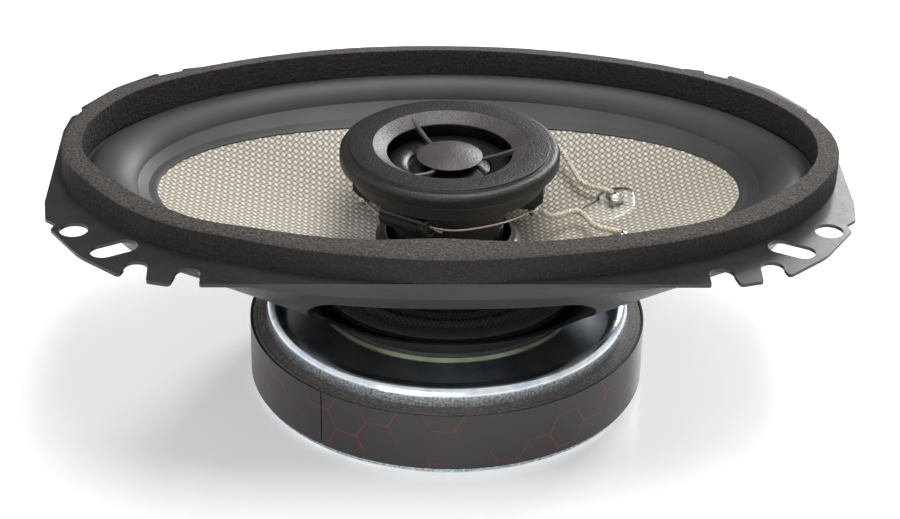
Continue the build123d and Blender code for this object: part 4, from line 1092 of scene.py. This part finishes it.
FRONT_LEADS = {
    "front_lead_positive": (
        (18.33, -2.57, 37.8), (20.0, -3.6, 37.3), (22.3, -2.2, 37.0), (24.0, -1.0, 37.1), (25.7, -1.0, 37.2),
        (26.9, -3.2, 37.5), (27.7, -7.0, 37.8), (29.0, -10.2, 38.3), (30.9, -11.6, 38.7), (33.2, -12.6, 38.8),
    ),
    "front_lead_negative": (
        (11.67, 14.5, 38.1), (15.8, 18.2, 39.9), (20.6, 20.3, 41.3), (23.6, 19.0, 41.0), (24.7, 16.4, 39.8),
        (25.9, 13.6, 38.8), (26.6, 11.0, 38.1), (28.3, 8.6, 37.8), (30.8, 7.4, 37.9), (33.3, 6.0, 37.8),
    ),
}
REAR_LEADS = {
    "rear_lead_positive": (
        (26.5, 45.1, 31.0), (26.3, 37.5, 29.6), (25.5, 26.5, 26.2), (27.9, -6.1, 28.0), (32.4, -11.6, 34.42),
    ),
    "rear_lead_negative": (
        (17.5, 45.1, 31.0), (17.3, 37.5, 29.6), (16.5, 26.5, 27.8), (28.1, 12.2, 29.6), (32.6, 6.7, 33.47),
    ),
}
STRANDS = 8
BRAID_LAY = 3.4         # length in which a strand winds once round the lead


def braided(line):
    """Points and faces of a braid: a core and eight strands, four winding each way round it."""
    ones, twos = side_vectors(line)
    run = length_along(line)
    parts = [tube(line, LEAD_RADIUS * 0.72, 10)]
    for k in range(STRANDS):
        way = 1 if k % 2 else -1
        turn = way * (run / BRAID_LAY * 2 * math.pi + k * 2 * math.pi / STRANDS)
        over = 0.66 + 0.1 * np.sin(4 * turn + k * math.pi / 2)
        around = np.cos(turn)[:, None] * ones + np.sin(turn)[:, None] * twos
        parts.append(tube(line + LEAD_RADIUS * over[:, None] * around, LEAD_RADIUS * 0.3, 6))
    return join_parts(parts)


def make_leads():
    """Braided leads that bend with the cone: still at the lugs and terminals, moving at the eyelets."""
    for node, route in {**FRONT_LEADS, **REAR_LEADS}.items():
        line = smooth_line(route)
        run = length_along(line)
        points, faces = braided(line)
        lead = piece(node + "_braid", points, faces, braid)
        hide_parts(node)
        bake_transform(lead, "frame", "cone", start=(0, 0, 0), end=(0, 0, 1))

        def moving(place):
            nearest = int(np.argmin(np.linalg.norm(line - np.array(place), axis=1)))
            return ease(run[nearest] / run[-1])
        weights(lead, moving)


# ---- studio ----

# Soft boxes: name, place, aim, width and height in millimetres, and power in watts.
LAMPS = (
    ("top_soft", (90, -10, 650), (0, 0, 40), 420, 300, 3.1),
    ("back_soft", (330, 560, 300), (0, 0, 45), 250, 200, 3.2),
    ("front_soft", (-200, -700, 200), (0, 0, 20), 600, 300, 1.2),
)
ROOM_LEVEL = 0.3        # even light from the room on the object
FLOOR_GLOW = 0.38       # what the floor adds for the view and for mirrors alone
FLOOR_HALF = 3000.0
DOORWAY = (0.0, 0.87, 0.5)      # direction in which mirrors see the dark doorway


def make_floor():
    """Polished white acrylic floor, which gives the object a soft reflection and keeps its shadow. Its
    glow is for the view and for mirrors alone."""
    material = bpy.data.materials.new("white_acrylic")
    material.use_nodes = True
    tree = material.node_tree
    rays = add(tree, "LightPath")
    seen = add(tree, "Math", rays.outputs["Is Camera Ray"], rays.outputs["Is Glossy Ray"],
               operation="MAXIMUM")
    lit = add(tree, "Math", seen, FLOOR_GLOW, operation="MULTIPLY")
    feed(tree, tree.nodes["Principled BSDF"], (),
         {"Base_Color": linear("#f4f4f5"), "Roughness": 0.16, "IOR": 1.45,
          "Emission_Color": (1, 1, 1, 1), "Emission_Strength": lit})
    corners = [(x * FLOOR_HALF, y * FLOOR_HALF, 0) for x, y in ((-1, -1), (1, -1), (1, 1), (-1, 1))]
    floor = piece("floor", corners, [(0, 1, 2, 3)], material, smooth=False)
    floor.location.z = -0.02 * MM


def make_room():
    """White room, which the camera sees as plain white, directly or through the clear glue. Mirrors see
    a dark doorway in it, behind the speaker."""
    world = bpy.data.worlds.new("white_room")
    bpy.context.scene.world = world
    world.use_nodes = True
    tree = world.node_tree
    rays = add(tree, "LightPath")
    toward = add(tree, "VectorMath", add(tree, "TexCoord").outputs["Generated"], DOORWAY,
                 operation="DOT_PRODUCT")
    walls = add(tree, "MapRange", toward, From_Min=0.45, From_Max=0.85, To_Min=0.95, To_Max=0.15)
    mirrored = add(tree, "Mix", Factor=rays.outputs["Is Glossy Ray"], A=ROOM_LEVEL, B=walls)
    seen = add(tree, "Math", rays.outputs["Is Camera Ray"], rays.outputs["Is Transmission Ray"],
               operation="MAXIMUM")
    level = add(tree, "Mix", Factor=seen, A=mirrored, B=1.0)
    feed(tree, tree.nodes["Background"], (), {"Color": (1, 1, 1, 1), "Strength": level})


def make_lamps():
    """Soft boxes over the speaker, low behind it to the right, and weak in front."""
    for name, place, aim, width, height, power in LAMPS:
        data = bpy.data.lights.new(name, "AREA")
        data.shape = "RECTANGLE"
        data.size, data.size_y = width * MM, height * MM
        data.energy = power
        lamp = bpy.data.objects.new(name, data)
        lamp.location = Vector(place) * MM
        lamp.rotation_euler = (Vector(aim) - Vector(place)).to_track_quat("-Z", "Y").to_euler()
        bpy.context.scene.collection.objects.link(lamp)


# ---- the speaker ----

set_camera()
for node, finish in FINISHES.items():
    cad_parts[node].data.materials.clear()
    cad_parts[node].data.materials.append(finish)
make_foam_gasket()
make_surround()
make_cone_skin()
make_spider()
make_neck_bead()
make_glue_pads()
make_bezel()
make_tweeter_roll()
make_capacitor()
make_capacitor_wires()
make_leads()
make_floor()
make_room()
make_lamps()
bpy.context.scene.view_settings.view_transform = "Standard"
